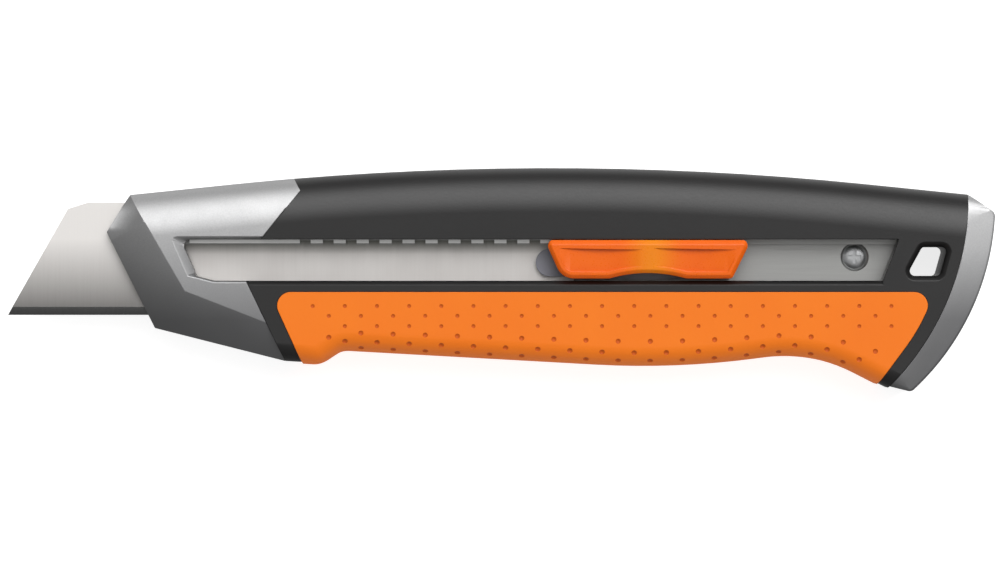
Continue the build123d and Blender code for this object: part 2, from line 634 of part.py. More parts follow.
def tail_cap(handle):
    """Die-cast tail cap that closes both shells, with a bowed rear face."""
    curve, top, low = tail_joint()
    zone = curve.edges() + Polyline(low, (low[0] + 2 * FAR, low[1])).edges()
    zone += Polyline((low[0] + 2 * FAR, low[1]), (low[0] + 2 * FAR, FAR), top).edges()
    end = Vector(TAIL_END_X, BACK_Y - TAIL_END_DROP)
    tip = Vector(SLOT_REAR_X + TAIL_TIP_BEYOND, -TAIL_TIP_DROP)
    pommel = (SLOT_REAR_X - POMMEL_FROM_REAR, -POMMEL_DROP)
    chord = (end - tip).normalized()
    bulge = (end + tip) / 2 + Vector(chord.Y, -chord.X) * TAIL_BULGE
    top_far = along((end.X, end.Y), TAIL_TOP, 4.0)
    low_far = along((tip.X, tip.Y), pommel, 3.0)
    outline = ThreePointArc(end, bulge, tip).edges() + Polyline(tip, low_far, top_far, end).edges()
    body = prism(outline, -RIGHT_SIDE, LEFT_SIDE)
    corners = body.edges().filter_by(Axis.Z).filter_by(lambda e: e.center().X > tip.X - FIT)
    body = fillet(corners, TAIL_END_ROUND)
    bow = curve.edges().filter_by(GeomType.CIRCLE)[0].arc_center
    start = TAIL_JOINT_BOW + TAIL_FALL_START
    spread = (LEFT_SIDE + RIGHT_SIDE) / TAIL_FALL
    body &= cone((bow.X, bow.Y), start + spread, start, -RIGHT_SIDE, LEFT_SIDE)
    edges = body.faces().filter_by(GeomType.CONE)[0].edges().filter_by(lambda e: e.center().Z < LEFT_SIDE - FIT)
    edges += body.edges().filter_by_position(Axis.Z, -RIGHT_SIDE - FIT, -RIGHT_SIDE + FIT)
    edges = edges.filter_by(lambda e: e.center().X > tip.X - TAIL_END_ROUND)
    body = chamfer(edges, TAIL_EDGE_BEVEL)
    body = handle & body
    cap = body & prism(zone, -FAR, FAR)
    cap += tail_tongues(0) & body
    for place in (CROWN_SCREW, POMMEL_SCREW):
        cap -= rod(place, SCREW_RADIUS + SCREW_PLAY, -FAR, FAR)
    return cap


def blade_rail():
    """Folded steel rail with a notched upper lip, turned up at its edge, and a dimple for its screw."""
    section = block((RAIL_FRONT_X, RAIL_REAR_X), (RAIL_LOW_Y, RAIL_TOP_Y), (-RAIL_HALF, RAIL_HALF))
    section = fillet(section.edges().filter_by(Axis.X), RAIL_BEND_RADIUS)
    beyond = (RAIL_FRONT_X - WALL, RAIL_REAR_X + WALL)
    channel_y = (-EDGE_PLAY, BACK_Y + EDGE_PLAY)
    section -= block(beyond, channel_y, (-RAIL_INNER_HALF, RAIL_INNER_HALF))
    section -= block(beyond, (LOWER_LIP_Y, UPPER_LIP_Y), (0, FAR))
    flange_x = (SLOT_FRONT_X + FLANGE_FRONT_GAP, TOOTH_X + (NOTCHES_BEHIND + 0.5) * NOTCH_PITCH)
    flange_y = (SLOT_TOP_Y - FIT - SHEET, SLOT_TOP_Y - FIT)
    section += block(flange_x, flange_y, (RAIL_INNER_HALF, FLANGE_HEIGHT))
    stations = [TOOTH_X - step * NOTCH_PITCH for step in range(-NOTCHES_BEHIND, NOTCHES_AHEAD + 1)]
    stations.append(TOOTH_X + RETRACT_TRAVEL)
    cuts = []
    for x in stations:
        x_range = (x - NOTCH_WIDTH / 2, x + NOTCH_WIDTH / 2)
        cuts.append(block(x_range, (UPPER_LIP_Y - FIT, UPPER_LIP_Y + NOTCH_DEPTH), (0, RAIL_HALF)))
        cuts.append(block(x_range, (UPPER_LIP_Y - FIT, SLOT_TOP_Y), (RAIL_HALF, FAR)))
    section -= cuts
    place = (RAIL_SCREW_X, RAIL_SCREW_Y)
    top = -RAIL_INNER_HALF
    head = RAIL_SCREW_HEAD_RADIUS + FIT
    narrow = SCREW_RADIUS + SCREW_PLAY
    section += cone(place, narrow, head + DIMPLE_WALL, top - head - DIMPLE_WALL + narrow, top)
    section -= rod(place, narrow, -FAR, 0)
    return section - cone(place, narrow, head, top - head + narrow, top)


def rail_screw():
    """Countersunk screw that holds the rail to the right shell."""
    place = (RAIL_SCREW_X, RAIL_SCREW_Y)
    face = -RAIL_INNER_HALF - FIT
    narrow = face - RAIL_SCREW_HEAD_RADIUS + SCREW_RADIUS
    screw = cone(place, SCREW_RADIUS, RAIL_SCREW_HEAD_RADIUS, narrow, face)
    return screw + rod(place, SCREW_RADIUS, face - RAIL_SCREW_LENGTH, narrow)


def pan_screw(place):
    """One pan-head screw, driven in from the right side."""
    head = rod(place, SCREW_HEAD_RADIUS, SCREW_SEAT - SCREW_HEAD_HEIGHT, SCREW_SEAT)
    return head + rod(place, SCREW_RADIUS, SCREW_SEAT, SCREW_SEAT + SCREW_LENGTH)


def blade():
    """Snap-off blade: slanted front end, ground edge, pin hole, and score lines on its right face."""
    half = BLADE_THICKNESS / 2
    lean = 1 / math.tan(math.radians(BLADE_SLANT))
    corner_y = BACK_Y - BACK_CORNER_DROP
    corner_x = corner_y * lean
    outline = Polyline(
        (0, 0),
        (BLADE_LENGTH, 0),
        (BLADE_LENGTH, BACK_Y),
        (corner_x + BACK_CORNER_LENGTH, BACK_Y),
        (corner_x, corner_y),
        close=True,
    )
    body = prism(outline, -half, half)
    for side in (1, -1):
        wedge = Polyline(
            (-1.0, side * (EDGE_FLAT / 2 - (half - EDGE_FLAT / 2) / GROUND_BAND)),
            (GROUND_BAND, side * half),
            (GROUND_BAND, side * 2 * half),
            (-1.0, side * 2 * half),
            close=True,
        )
        body -= extrude(Plane.YZ.offset(-1.0) * make_face(wedge), BLADE_LENGTH + 2.0)
    for step in range(1, SCORE_COUNT + 1):
        line = Box(2.4 * BLADE_WIDTH, SCORE_WIDTH, 2 * SCORE_DEPTH)
        body -= Pos(step * SEGMENT_PITCH, 0, -half) * Rot(0, 0, BLADE_SLANT) * line
    return body - rod((PIN_X, CARRIER_MID_Y), PIN_RADIUS + PIN_PLAY, -1.0, 1.0)


def rivet_places():
    """Places of the two rivets through the carrier."""
    y = CARRIER_TOP_Y - RIVET_INSET
    return [(TOOTH_X + FRONT_RIVET_BEHIND_TOOTH, y), (CARRIER_REAR_X - REAR_RIVET_FROM_END, y)]


def leaf_limits():
    """Limits along X and Y of the lock spring's leaf."""
    front = TOOTH_X - TOOTH_WIDTH / 2
    return (front, front + LEAF_LENGTH), (CARRIER_TOP_Y - LEAF_WIDTH, CARRIER_TOP_Y)


def slide_plate():
    """Steel plate behind the blade that guides the slider in the rail, cut away under the lock spring."""
    half = BLADE_THICKNESS / 2
    front = BLADE_LENGTH + PLATE_GAP
    rear = CARRIER_REAR_X + PLATE_BEYOND_CARRIER
    plate = block((front, rear), (PLATE_INSET, BACK_Y - PLATE_INSET), (-half, half))
    (_, leaf_end), (leaf_low, leaf_top) = leaf_limits()
    clear_y = (leaf_low - PLATE_INSET, UPPER_LIP_Y + NOTCH_DEPTH)
    clear_end = rivet_places()[0][0] - RIVET_HEAD_RADIUS
    plate -= block((front - 1.0, clear_end), clear_y, (-1.0, 1.0))
    for place in rivet_places():
        plate -= rod(place, RIVET_RADIUS + FIT, -1.0, 1.0)
    return plate


def leg_limits(x, grow):
    """Limits along X and Y of one leg of the button, or of its hole."""
    high = CARRIER_TOP_Y - LEG_INSET + grow
    return (x - grow, x + LEG_LENGTH + grow), (high - LEG_WIDTH - 2 * grow, high)


def slider_carrier():
    """Moulded carrier that joins button, plate and blade, with a round tongue over the blade's end."""
    y_range = (CARRIER_LOW_Y, CARRIER_TOP_Y)
    carrier = block((BLADE_LENGTH, CARRIER_REAR_X), y_range, (CARRIER_BOTTOM, CARRIER_TOP))
    pin = (PIN_X, CARRIER_MID_Y)
    tongue_y = (CARRIER_MID_Y - TONGUE_RADIUS, CARRIER_MID_Y + TONGUE_RADIUS)
    carrier += block((PIN_X, BLADE_LENGTH), tongue_y, (CARRIER_BOTTOM, TONGUE_TOP))
    carrier += rod(pin, TONGUE_RADIUS, CARRIER_BOTTOM, TONGUE_TOP)
    carrier -= rod(pin, PIN_RADIUS + FIT, 0, TONGUE_TOP - PIN_CAP)
    (_, leaf_end), (leaf_low, _) = leaf_limits()
    leaf_room = (CARRIER_BOTTOM - FIT, LEAF_TOP + FIT)
    carrier -= block((BLADE_LENGTH - 1.0, leaf_end + FIT), (leaf_low - FIT, BACK_Y), leaf_room)
    carrier -= block(*leg_limits(FRONT_LEG_X, LEG_PLAY), (0, CARRIER_TOP + 1.0))
    carrier -= block(*leg_limits(REAR_LEG_X, LEG_PLAY), (LEG_FLOOR, CARRIER_TOP + 1.0))
    for place in rivet_places():
        carrier -= rod(place, RIVET_RADIUS + FIT, 0, CARRIER_TOP)
        carrier -= rod(place, RIVET_HEAD_RADIUS + FIT, rivet_shoulder(), CARRIER_TOP + 1.0)
    return carrier


def rivet_shoulder():
    """Height at which the rivet heads sit in the carrier."""
    return CARRIER_TOP - RIVET_HEAD_HEIGHT - RIVET_SINK


def carrier_rivet(place):
    """One rivet through plate, lock spring and carrier."""
    shoulder = rivet_shoulder()
    head = rod(place, RIVET_HEAD_RADIUS, shoulder, shoulder + RIVET_HEAD_HEIGHT)
    return head + rod(place, RIVET_RADIUS, -BLADE_THICKNESS / 2, shoulder)


def blade_pin():
    """Steel pin under the tongue that stands in the blade's hole."""
    return rod((PIN_X, CARRIER_MID_Y), PIN_RADIUS, -BLADE_THICKNESS / 2, TONGUE_TOP - PIN_CAP)


def lock_spring():
    """Flat leaf, riveted at its rear end, whose tooth stands in a notch of the rail."""
    x_range, y_range = leaf_limits()
    leaf = block(x_range, y_range, (LEAF_BOTTOM, LEAF_TOP))
    tooth_x = (TOOTH_X - TOOTH_WIDTH / 2, TOOTH_X + TOOTH_WIDTH / 2)
    leaf += block(tooth_x, (y_range[0], UPPER_LIP_Y + TOOTH_BITE), (LEAF_BOTTOM, LEAF_TOP))
    return leaf - rod(rivet_places()[0], RIVET_RADIUS + FIT, 0, CARRIER_TOP)


def button_spring():
    """Bowed strip that lifts the button off the carrier."""
    low = CARRIER_TOP
    high = BUTTON_UNDERSIDE - BOW_THICKNESS
    x = BLADE_LENGTH + BOW_STATION
    upper = ThreePointArc((x, low + BOW_THICKNESS), (x + BOW_LENGTH / 2, high + BOW_THICKNESS),
                          (x + BOW_LENGTH, low + BOW_THICKNESS))
    lower = ThreePointArc((x, low), (x + BOW_LENGTH / 2, high), (x + BOW_LENGTH, low))
    ends = Polyline((x, low), (x, low + BOW_THICKNESS)).edges()
    ends += Polyline((x + BOW_LENGTH, low), (x + BOW_LENGTH, low + BOW_THICKNESS)).edges()
    face = Plane.XZ.offset(-CARRIER_MID_Y - BOW_WIDTH / 2) * make_face(upper.edges() + lower.edges() + ends)
    return extrude(face, BOW_WIDTH)


def arc_radius(length, depth):
    """Radius of an arc of given chord and depth."""
    return (length * length / 4 + depth * depth) / (2 * depth)


def thumb_button():
    """Thumb button with two scooped lobes, a waisted lower edge and two legs into the carrier."""
    corners = [
        (BUTTON_FRONT_X, BUTTON_TOP_Y),
        (BUTTON_FRONT_X + BUTTON_FRONT_SLANT, BUTTON_LOW_Y),
        (BUTTON_REAR_X - BUTTON_REAR_SLANT, BUTTON_LOW_Y),
        (BUTTON_REAR_X, BUTTON_TOP_Y),
    ]
    rounds = [BUTTON_CORNER_SMALL, BUTTON_CORNER_LARGE, BUTTON_CORNER_SMALL, BUTTON_CORNER_SMALL]
    outline = FilletPolyline(*corners, radius=rounds, close=True)
    button = prism(outline.edges(), BUTTON_UNDERSIDE, BUTTON_TOP)
    waist = arc_radius(WAIST_LENGTH, WAIST_DEPTH)
    button -= rod((BUTTON_MID_X, BUTTON_LOW_Y + WAIST_DEPTH - waist), waist, 0, FAR)
    button = chamfer(button.faces().sort_by(Axis.Z)[-1].edges(), BUTTON_EDGE_BEVEL)
    inside = offset(make_face(Polyline(*corners, close=True)), -BUTTON_RIM, kind=Kind.INTERSECTION)
    inside = extrude(inside, FAR)
    inside -= rod((BUTTON_MID_X, BUTTON_LOW_Y + WAIST_DEPTH - waist), waist + BUTTON_RIM, 0, FAR)
    front_low = inside.edges().filter_by(Axis.Z).sort_by_distance((*corners[1], FAR / 2))[0]
    inside = fillet(front_low, BUTTON_CORNER_LARGE - BUTTON_RIM)
    scoop = arc_radius(SCOOP_LENGTH, SCOOP_DEPTH)
    for side in (-1, 1):
        place = Pos(BUTTON_MID_X + side * SCOOP_SPREAD / 2, CARRIER_MID_Y, BUTTON_TOP - SCOOP_DEPTH + scoop)
        button -= (place * Rot(90, 0, 0) * Cylinder(scoop, FAR)) & inside
    front_z = (LEAF_TOP + FIT, BUTTON_UNDERSIDE + FIT)
    rear_z = (LEG_FLOOR + PRESS_TRAVEL + LEG_PLAY, BUTTON_UNDERSIDE + FIT)
    button += block(*leg_limits(FRONT_LEG_X, 0), front_z)
    return button + block(*leg_limits(REAR_LEG_X, 0), rear_z)


def all_pieces():
    """Every named piece of the knife, drawn from the blade's point."""
    spine = spine_slab()
    handle = spine & belly_slab(0, LEFT_SIDE, RIGHT_SIDE)
    inner = belly_slab(-PAD_DEPTH, LEFT_SIDE - PAD_DEPTH, RIGHT_SIDE - PAD_DEPTH, chamfer)
    left_pad, right_pad = pads(inner)
    front_rivet, rear_rivet = rivet_places()
    return {
        "nose_casting": nose_casting(spine),
        "left_shell": left_shell(handle, inner),
        "right_shell": right_shell(handle, inner),
        "left_grip_pad": left_pad,
        "right_grip_pad": right_pad,
        "tail_cap": tail_cap(handle),
        "blade_rail": blade_rail(),
        "rail_screw": rail_screw(),
        "shell_screws": pan_screw(NOSE_SCREW) + pan_screw(MIDDLE_SCREW),
        "tail_screws": pan_screw(CROWN_SCREW) + pan_screw(POMMEL_SCREW),
        "blade": blade(),
        "slide_plate": slide_plate(),
        "slider_carrier": slider_carrier(),
        "carrier_rivets": carrier_rivet(front_rivet) + carrier_rivet(rear_rivet),
        "blade_pin": blade_pin(),
        "lock_spring": lock_spring(),
        "button_spring": button_spring(),
        "thumb_button": thumb_button(),
    }


os.makedirs("parts", exist_ok=True)
pieces = all_pieces()
boxes = [piece.bounding_box() for piece in pieces.values()]
middle_x = (min(box.min.X for box in boxes) + max(box.max.X for box in boxes)) / 2
middle_y = (min(box.min.Y for box in boxes) + max(box.max.Y for box in boxes)) / 2
to_origin = Pos(-middle_x, -middle_y, RIGHT_SIDE)
for name, piece in pieces.items():
    export_step(to_origin * piece, f"parts/{name}.step")
    print(name, len(piece.solids()), round(piece.volume, 1))
print("moved by", to_origin.position)
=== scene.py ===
# %% [markdown]
# # A utility knife with a sliding blade
# The solids of this knife come from a CAD model and are already in place, in metres. This lesson
# gives them their looks: satin castings, black plastic, a dimpled rubber grip and a ground blade.
# The box round the bare solids is kept, and the floor lies at its bottom.

# %% Load the solids
import math

import bmesh
import bpy
import numpy as np
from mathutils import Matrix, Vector


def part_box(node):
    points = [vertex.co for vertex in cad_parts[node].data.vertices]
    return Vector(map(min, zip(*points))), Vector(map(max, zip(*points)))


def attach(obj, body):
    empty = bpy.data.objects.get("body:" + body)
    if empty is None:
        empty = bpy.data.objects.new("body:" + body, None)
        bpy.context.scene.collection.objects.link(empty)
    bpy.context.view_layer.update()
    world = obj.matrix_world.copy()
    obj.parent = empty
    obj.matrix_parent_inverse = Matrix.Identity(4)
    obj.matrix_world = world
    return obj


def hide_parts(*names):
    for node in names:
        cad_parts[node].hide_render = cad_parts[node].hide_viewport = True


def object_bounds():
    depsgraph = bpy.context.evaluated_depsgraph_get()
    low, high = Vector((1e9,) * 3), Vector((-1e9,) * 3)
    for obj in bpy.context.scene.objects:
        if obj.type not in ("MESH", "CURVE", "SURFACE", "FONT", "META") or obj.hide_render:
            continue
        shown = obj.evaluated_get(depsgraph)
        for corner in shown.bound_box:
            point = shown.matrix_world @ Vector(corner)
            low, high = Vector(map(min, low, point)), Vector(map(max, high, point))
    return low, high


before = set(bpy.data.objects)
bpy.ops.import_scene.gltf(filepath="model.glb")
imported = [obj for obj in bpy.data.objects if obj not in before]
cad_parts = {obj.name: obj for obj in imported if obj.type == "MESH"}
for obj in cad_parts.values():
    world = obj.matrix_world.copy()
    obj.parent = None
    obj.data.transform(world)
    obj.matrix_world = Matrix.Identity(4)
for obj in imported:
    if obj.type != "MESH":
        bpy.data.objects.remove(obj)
cad_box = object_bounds()
MM = 0.001
print("box of the solids, mm:", [round(v / MM, 1) for v in cad_box[1] - cad_box[0]])

# %% [markdown]
# ## The camera
# The knife lies flat and is seen straight from above, like most catalogue pictures. A long lens far
# away keeps the sides of the thick handle from showing, which a short lens close by wouldn't. The
# lens follows from the width of view and the distance, so either can change without the other.

# %% Camera
VIEW_WIDTH = 222.2 * MM
VIEW_CENTRE = (-0.05 * MM, -0.36 * MM)
VIEW_DISTANCE = 1.2
FOCUS_HEIGHT = 12 * MM
FILM_WIDTH = 36

lens = bpy.data.cameras.new("camera")
lens.sensor_width = FILM_WIDTH
lens.lens = FILM_WIDTH * VIEW_DISTANCE / VIEW_WIDTH
camera = bpy.data.objects.new("camera", lens)
camera.location = (*VIEW_CENTRE, FOCUS_HEIGHT + VIEW_DISTANCE)
bpy.context.collection.objects.link(camera)
bpy.context.scene.camera = camera
print("lens, mm:", round(lens.lens, 1))

# %% [markdown]
# ## Colours and nodes
# Paint cards and pictures give colours in sRGB, while shaders count in linear light, so one function
# turns a hex value into the other. A second one adds a node, sets it and links it in one go, for
# materials and for geometry alike. The plain view transform shows each colour as it was picked.

# %% Helpers for colours and nodes
bpy.context.scene.view_settings.view_transform = "Standard"

# A Mix node has sockets for numbers and for colours under the same names. So those for colours go by
# number: how much of the second colour, the two colours, and what comes out.
SHARE, FIRST, SECOND, MIXED = 0, 6, 7, 2


def linear(hex_colour):
    """The linear colour of an sRGB hex value, by the formula of the sRGB standard."""
    parts = [int(hex_colour[i:i + 2], 16) / 255 for i in (1, 3, 5)]
    return (*[p / 12.92 if p <= 0.04045 else ((p + 0.055) / 1.055) ** 2.4 for p in parts], 1.0)


def add(tree, kind, inputs=None, **settings):
    """Adds a node, and sets or links its inputs. A node as an input stands for its first output."""
    made = tree.nodes.new(kind)
    for name, value in settings.items():
        setattr(made, name, value)
    for key, value in (inputs or {}).items():
        if isinstance(value, bpy.types.Node):
            value = value.outputs[0]
        if isinstance(value, bpy.types.NodeSocket):
            tree.links.new(value, made.inputs[key])
        else:
            made.inputs[key].default_value = value
    return made


def new_material(name):
    """An empty material, its tree, and the place on a piece, which patterns go by."""
    material = bpy.data.materials.new(name)
    material.use_nodes = True
    tree = material.node_tree
    tree.nodes.clear()
    return material, tree, add(tree, "ShaderNodeTexCoord").outputs["Object"]


print("middle grey, linear:", [round(v, 3) for v in linear("#808080")])

# %% [markdown]
# ## Floor
# A sheet of pale paper lies under the knife, as on a copy stand. A small sheet would show its end in a
# low view from the side, and a wide one costs nothing. So it is twelve metres wide and turned up at
# its rim. It shines a little by itself, which keeps it pale all the way out.

# %% Floor
FLOOR_HALF = 6.0
RIM_HEIGHT = 0.6

floor_mesh = bpy.data.meshes.new("floor")
corners = [(x * FLOOR_HALF, y * FLOOR_HALF, cad_box[0].z + up)
           for up in (0, RIM_HEIGHT) for x, y in ((-1, -1), (1, -1), (1, 1), (-1, 1))]
rim = [(i, i + 4, (i + 1) % 4 + 4, (i + 1) % 4) for i in range(4)]
floor_mesh.from_pydata(corners, [], [(0, 1, 2, 3), *rim])
floor = bpy.data.objects.new("floor", floor_mesh)
bpy.context.collection.objects.link(floor)
floor.visible_glossy = False

# Matt paper, nearly white: it gives the eye nothing but the knife's own soft shadow.
pale_paper, tree, _ = new_material("matt_pale_paper")
surface = add(tree, "ShaderNodeBsdfPrincipled",
              {"Base Color": linear("#b4b4b4"), "Roughness": 0.9, "Specular IOR Level": 0.0,
               "Emission Color": (1, 1, 1, 1), "Emission Strength": 0.8})
add(tree, "ShaderNodeOutputMaterial", {"Surface": surface})
floor_mesh.materials.append(pale_paper)
print("floor at z, mm:", round(cad_box[0].z / MM, 2))

# %% [markdown]
# ## Lamps
# A big soft lamp behind the spine draws the shadow of the knife, and a weaker one fills it in from the
# other side. A sun would do for the light, but its shadow is hard. The metal doesn't mirror the lamps,
# because their outlines would look like stickers on it.

# %% Lamps
LAMP_DISTANCE = 1.6
LAMPS = {
    # name: direction, width and length in metres, power in watts
    "soft_lamp": ((0.30, 0.58, 0.75), (1.6, 0.9), 15.5),
    "fill_lamp": ((-0.25, -0.80, 0.45), (1.6, 0.6), 5),
}
for name, (towards, size, power) in LAMPS.items():
    lamp_data = bpy.data.lights.new(name, "AREA")
    lamp_data.shape = "RECTANGLE"
    lamp_data.size, lamp_data.size_y = size
    lamp_data.energy = power
    lamp = bpy.data.objects.new(name, lamp_data)
    lamp.location = Vector(towards).normalized() * LAMP_DISTANCE
    lamp.rotation_euler = lamp.location.to_track_quat("Z", "Y").to_euler()
    lamp.visible_glossy = False
    bpy.context.collection.objects.link(lamp)
    print(name, "of", power, "W")

# %% [markdown]
# ## Sky
# What metal shows is mostly what stands round it. The sky is brightest over the spine and dim towards
# the cutting edge, as in a studio with one wall left dark. That makes the slanted faces of the nose
# go dark while its rounded back shines. A picture of a studio could do this too, but a few stops of
# grey are easier to change.

# %% Sky
SKY_TOWARDS = (0.15, 0.58, 0.80)
# Cosine of the angle to the brightest place: brightness
SKY_STOPS = {-1.0: 0.20, -0.2: 0.24, 0.55: 0.42, 0.78: 0.55, 0.88: 1.2, 0.97: 3.9}
SKY_STRENGTH = max(SKY_STOPS.values())

sky = bpy.data.worlds.new("studio")
sky.use_nodes = True
bpy.context.scene.world = sky
tree = sky.node_tree
tree.nodes.clear()
look = add(tree, "ShaderNodeTexCoord").outputs["Generated"]
towards = add(tree, "ShaderNodeVectorMath", {0: look, 1: SKY_TOWARDS}, operation="DOT_PRODUCT")
share = add(tree, "ShaderNodeMapRange",
            {"Value": towards.outputs["Value"], "From Min": -1.0, "From Max": 1.0})
shade = add(tree, "ShaderNodeValToRGB", {0: share})
stops = shade.color_ramp.elements
stops.remove(stops[1])
for cosine, brightness in SKY_STOPS.items():
    stop = stops[0] if cosine == -1.0 else stops.new((cosine + 1) / 2)
    stop.color = (*[brightness / SKY_STRENGTH] * 3, 1)
light = add(tree, "ShaderNodeBackground", {"Color": shade.outputs["Color"], "Strength": SKY_STRENGTH})
print("sky stops:", [(round(stop.position, 3), round(stop.color[0], 3)) for stop in stops])

# %% [markdown]
# ## Light from the paper
# The lit half of the paper shines back at the upright faces of the knife. The metal doesn't mirror the
# floor, which would be one flat white to it. So a second part of the sky does this, below the horizon
# and on the lit side only.

# %% Light from the paper
BOUNCE_TOWARDS = (0.7, 0.7, 0.0)
BOUNCE_STRENGTH = 0.7
BOUNCE_DEPTH = -0.35
BOUNCE_START, BOUNCE_FULL = -0.1, 0.6

height = add(tree, "ShaderNodeSeparateXYZ", {0: look}).outputs["Z"]
low = add(tree, "ShaderNodeMapRange", {"Value": height, "From Min": 0.0, "From Max": BOUNCE_DEPTH})
lit = add(tree, "ShaderNodeVectorMath", {0: look, 1: BOUNCE_TOWARDS}, operation="DOT_PRODUCT")
lit_share = add(tree, "ShaderNodeMapRange",
                {"Value": lit.outputs["Value"], "From Min": BOUNCE_START, "From Max": BOUNCE_FULL,
                 "To Max": BOUNCE_STRENGTH})
bounce = add(tree, "ShaderNodeMath", {0: low, 1: lit_share}, operation="MULTIPLY")
paper = add(tree, "ShaderNodeBackground", {"Strength": bounce, "Color": (1, 1, 1, 1)})
both = add(tree, "ShaderNodeAddShader", {0: light, 1: paper})
add(tree, "ShaderNodeOutputWorld", {"Surface": both})
print("nodes of the sky:", len(tree.nodes))

# %% [markdown]
# ## The last part of a finish
# A real surface has a fine pattern, left by a mould, a wheel or a blast of shot. It makes the gloss
# uneven and gives the surface a relief that a fingernail would feel. Nearly every finish of the knife
# ends in this way, so one function does it, and each finish brings its own pattern and colours. The
# width of a pattern is given in millimetres and turned into a scale.

# %% Helpers for a finish
# A noise seldom leaves this range, so the range of roughness is spread over it.
NOISE_LOW, NOISE_HIGH = 0.3, 0.7


def per_mm(size_mm):
    """The scale of a pattern whose spots have a size in millimetres."""
    return 1 / (size_mm * MM)


def coat(tree, colour, pattern, relief, roughness, gloss=None, **constants):
    """Ends a finish: its pattern gives it a relief and, unless there is another for it, its gloss.

    The relief is a height in millimetres and a strength, and the roughness goes from smooth to rough.
    What is the same all over the surface is set on the shader itself.
    """
    height, strength = relief
    smooth, rough = roughness
    dull = add(tree, "ShaderNodeMapRange",
               {"Value": pattern if gloss is None else gloss, "From Min": NOISE_LOW, "From Max": NOISE_HIGH,
                "To Min": smooth, "To Max": rough})
    bump = add(tree, "ShaderNodeBump", {"Height": pattern, "Strength": strength, "Distance": height * MM})
    surface = add(tree, "ShaderNodeBsdfPrincipled",
                  {"Base Color": colour, "Roughness": dull, "Normal": bump, **constants})
    add(tree, "ShaderNodeOutputMaterial", {"Surface": surface})


def near_line(tree, value, line, reach, fall="LINEAR"):
    """A share that is 1 where a value lies on a line and falls to 0 within a reach of it."""
    off = add(tree, "ShaderNodeMath", {0: value, 1: line}, operation="SUBTRACT")
    away = add(tree, "ShaderNodeMath", {0: off}, operation="ABSOLUTE")
    return add(tree, "ShaderNodeMapRange", {"Value": away, "From Min": reach, "From Max": 0.0},
               interpolation_type=fall)


print("scale of a pattern of 1 mm:", round(per_mm(1)))

# %% [markdown]
# ## Die-cast aluminium
# The nose and the tail cap are cast in a steel die and then blasted with fine shot. That leaves a
# grey satin metal whose grain is a tenth of a millimetre wide. It is drawn three times as coarse,
# because it would vanish between two pixels otherwise. The castings' colour is painted darker
# towards the cutting edge, as painted shade.

# %% Cast metal
GRAIN, STAIN = 0.3, 9.0
DARK_BELOW, PALE_ABOVE = -9 * MM, 12 * MM

# Shot-blasted aluminium: a soft, broad sheen, with a grain that breaks up the edge of a reflection.
cast_metal, tree, place = new_material("shot_blasted_die_cast_aluminium")
grain = add(tree, "ShaderNodeTexNoise", {"Vector": place, "Scale": per_mm(GRAIN)})
cloud = add(tree, "ShaderNodeTexNoise", {"Vector": place, "Scale": per_mm(STAIN), "Detail": 3.0})
tone = add(tree, "ShaderNodeMix", {SHARE: grain, FIRST: linear("#acacad"), SECOND: linear("#c3c3c3")},
           data_type="RGBA").outputs[MIXED]
across = add(tree, "ShaderNodeSeparateXYZ", {0: place}).outputs["Y"]
# Painted shade: the castings' colour gets darker towards the cutting edge.
domed = add(tree, "ShaderNodeMapRange", {"Value": across, "From Min": DARK_BELOW, "From Max": PALE_ABOVE})
painted_shade_tone = add(tree, "ShaderNodeMix", {SHARE: domed, FIRST: linear("#828283"), SECOND: tone},
           data_type="RGBA").outputs[MIXED]
coat(tree, painted_shade_tone, grain, relief=(0.05, 0.10), roughness=(0.44, 0.52), gloss=cloud, Metallic=1.0)
print("made", cast_metal.name)

# %% [markdown]
# ## Black handle plastic
# The two halves of the handle are moulded in black ABS. The mould is spark-eroded, so the plastic
# comes out with a fine even texture. A plain rough black would do from afar. The texture is what turns
# a gloss into a broad grey sheen, and it is drawn coarser than it is, so that it shows at all.

# %% Handle plastic
SPARK, CLOUD = 0.35, 14.0

# Spark-textured ABS: nearly black, with a wide soft highlight along the rounded back.
handle_plastic, tree, place = new_material("spark_textured_black_abs")
texture = add(tree, "ShaderNodeTexNoise", {"Vector": place, "Scale": per_mm(SPARK)})
cloud = add(tree, "ShaderNodeTexNoise", {"Vector": place, "Scale": per_mm(CLOUD)})
tone = add(tree, "ShaderNodeMix", {SHARE: cloud, FIRST: linear("#0e0d0d"), SECOND: linear("#151414")},
           data_type="RGBA").outputs[MIXED]
coat(tree, tone, texture, relief=(0.06, 0.15), roughness=(0.28, 0.38), IOR=1.50)
print("made", handle_plastic.name)

# %% [markdown]
# ## Orange grip rubber
# The grip is a thermoplastic elastomer moulded over the handle. It is matt, and its orange drifts a
# little from place to place. In the dimples the orange is darker, as painted shade in the hollows.
# That shade could be painted by their places, but the dimples carry an attribute, so the rubber knows
# where they are by itself.

# %% Grip rubber
PEEL, DRIFT = 0.5, 22.0

# Moulded TPE: a matt skin with a faint orange-peel, and painted shade at the bottom of each dimple.
grip_rubber, tree, place = new_material("moulded_orange_tpe")
skin = add(tree, "ShaderNodeTexNoise", {"Vector": place, "Scale": per_mm(PEEL), "Detail": 3.0})
cloud = add(tree, "ShaderNodeTexNoise", {"Vector": place, "Scale": per_mm(DRIFT)})
# The dimples' mask darkens the orange there: painted shade in the hollows.
hollow = add(tree, "ShaderNodeAttribute", attribute_name="hollow").outputs["Fac"]
tone = add(tree, "ShaderNodeMix", {SHARE: cloud, FIRST: linear("#d2640e"), SECOND: linear("#d87012")},
           data_type="RGBA").outputs[MIXED]
dimple_shaded_tone = add(tree, "ShaderNodeMix", {SHARE: hollow, FIRST: tone, SECOND: linear("#b04c0c")},
           data_type="RGBA").outputs[MIXED]
coat(tree, dimple_shaded_tone, skin, relief=(0.06, 0.12), roughness=(0.5, 0.62), IOR=1.36)
print("made", grip_rubber.name)
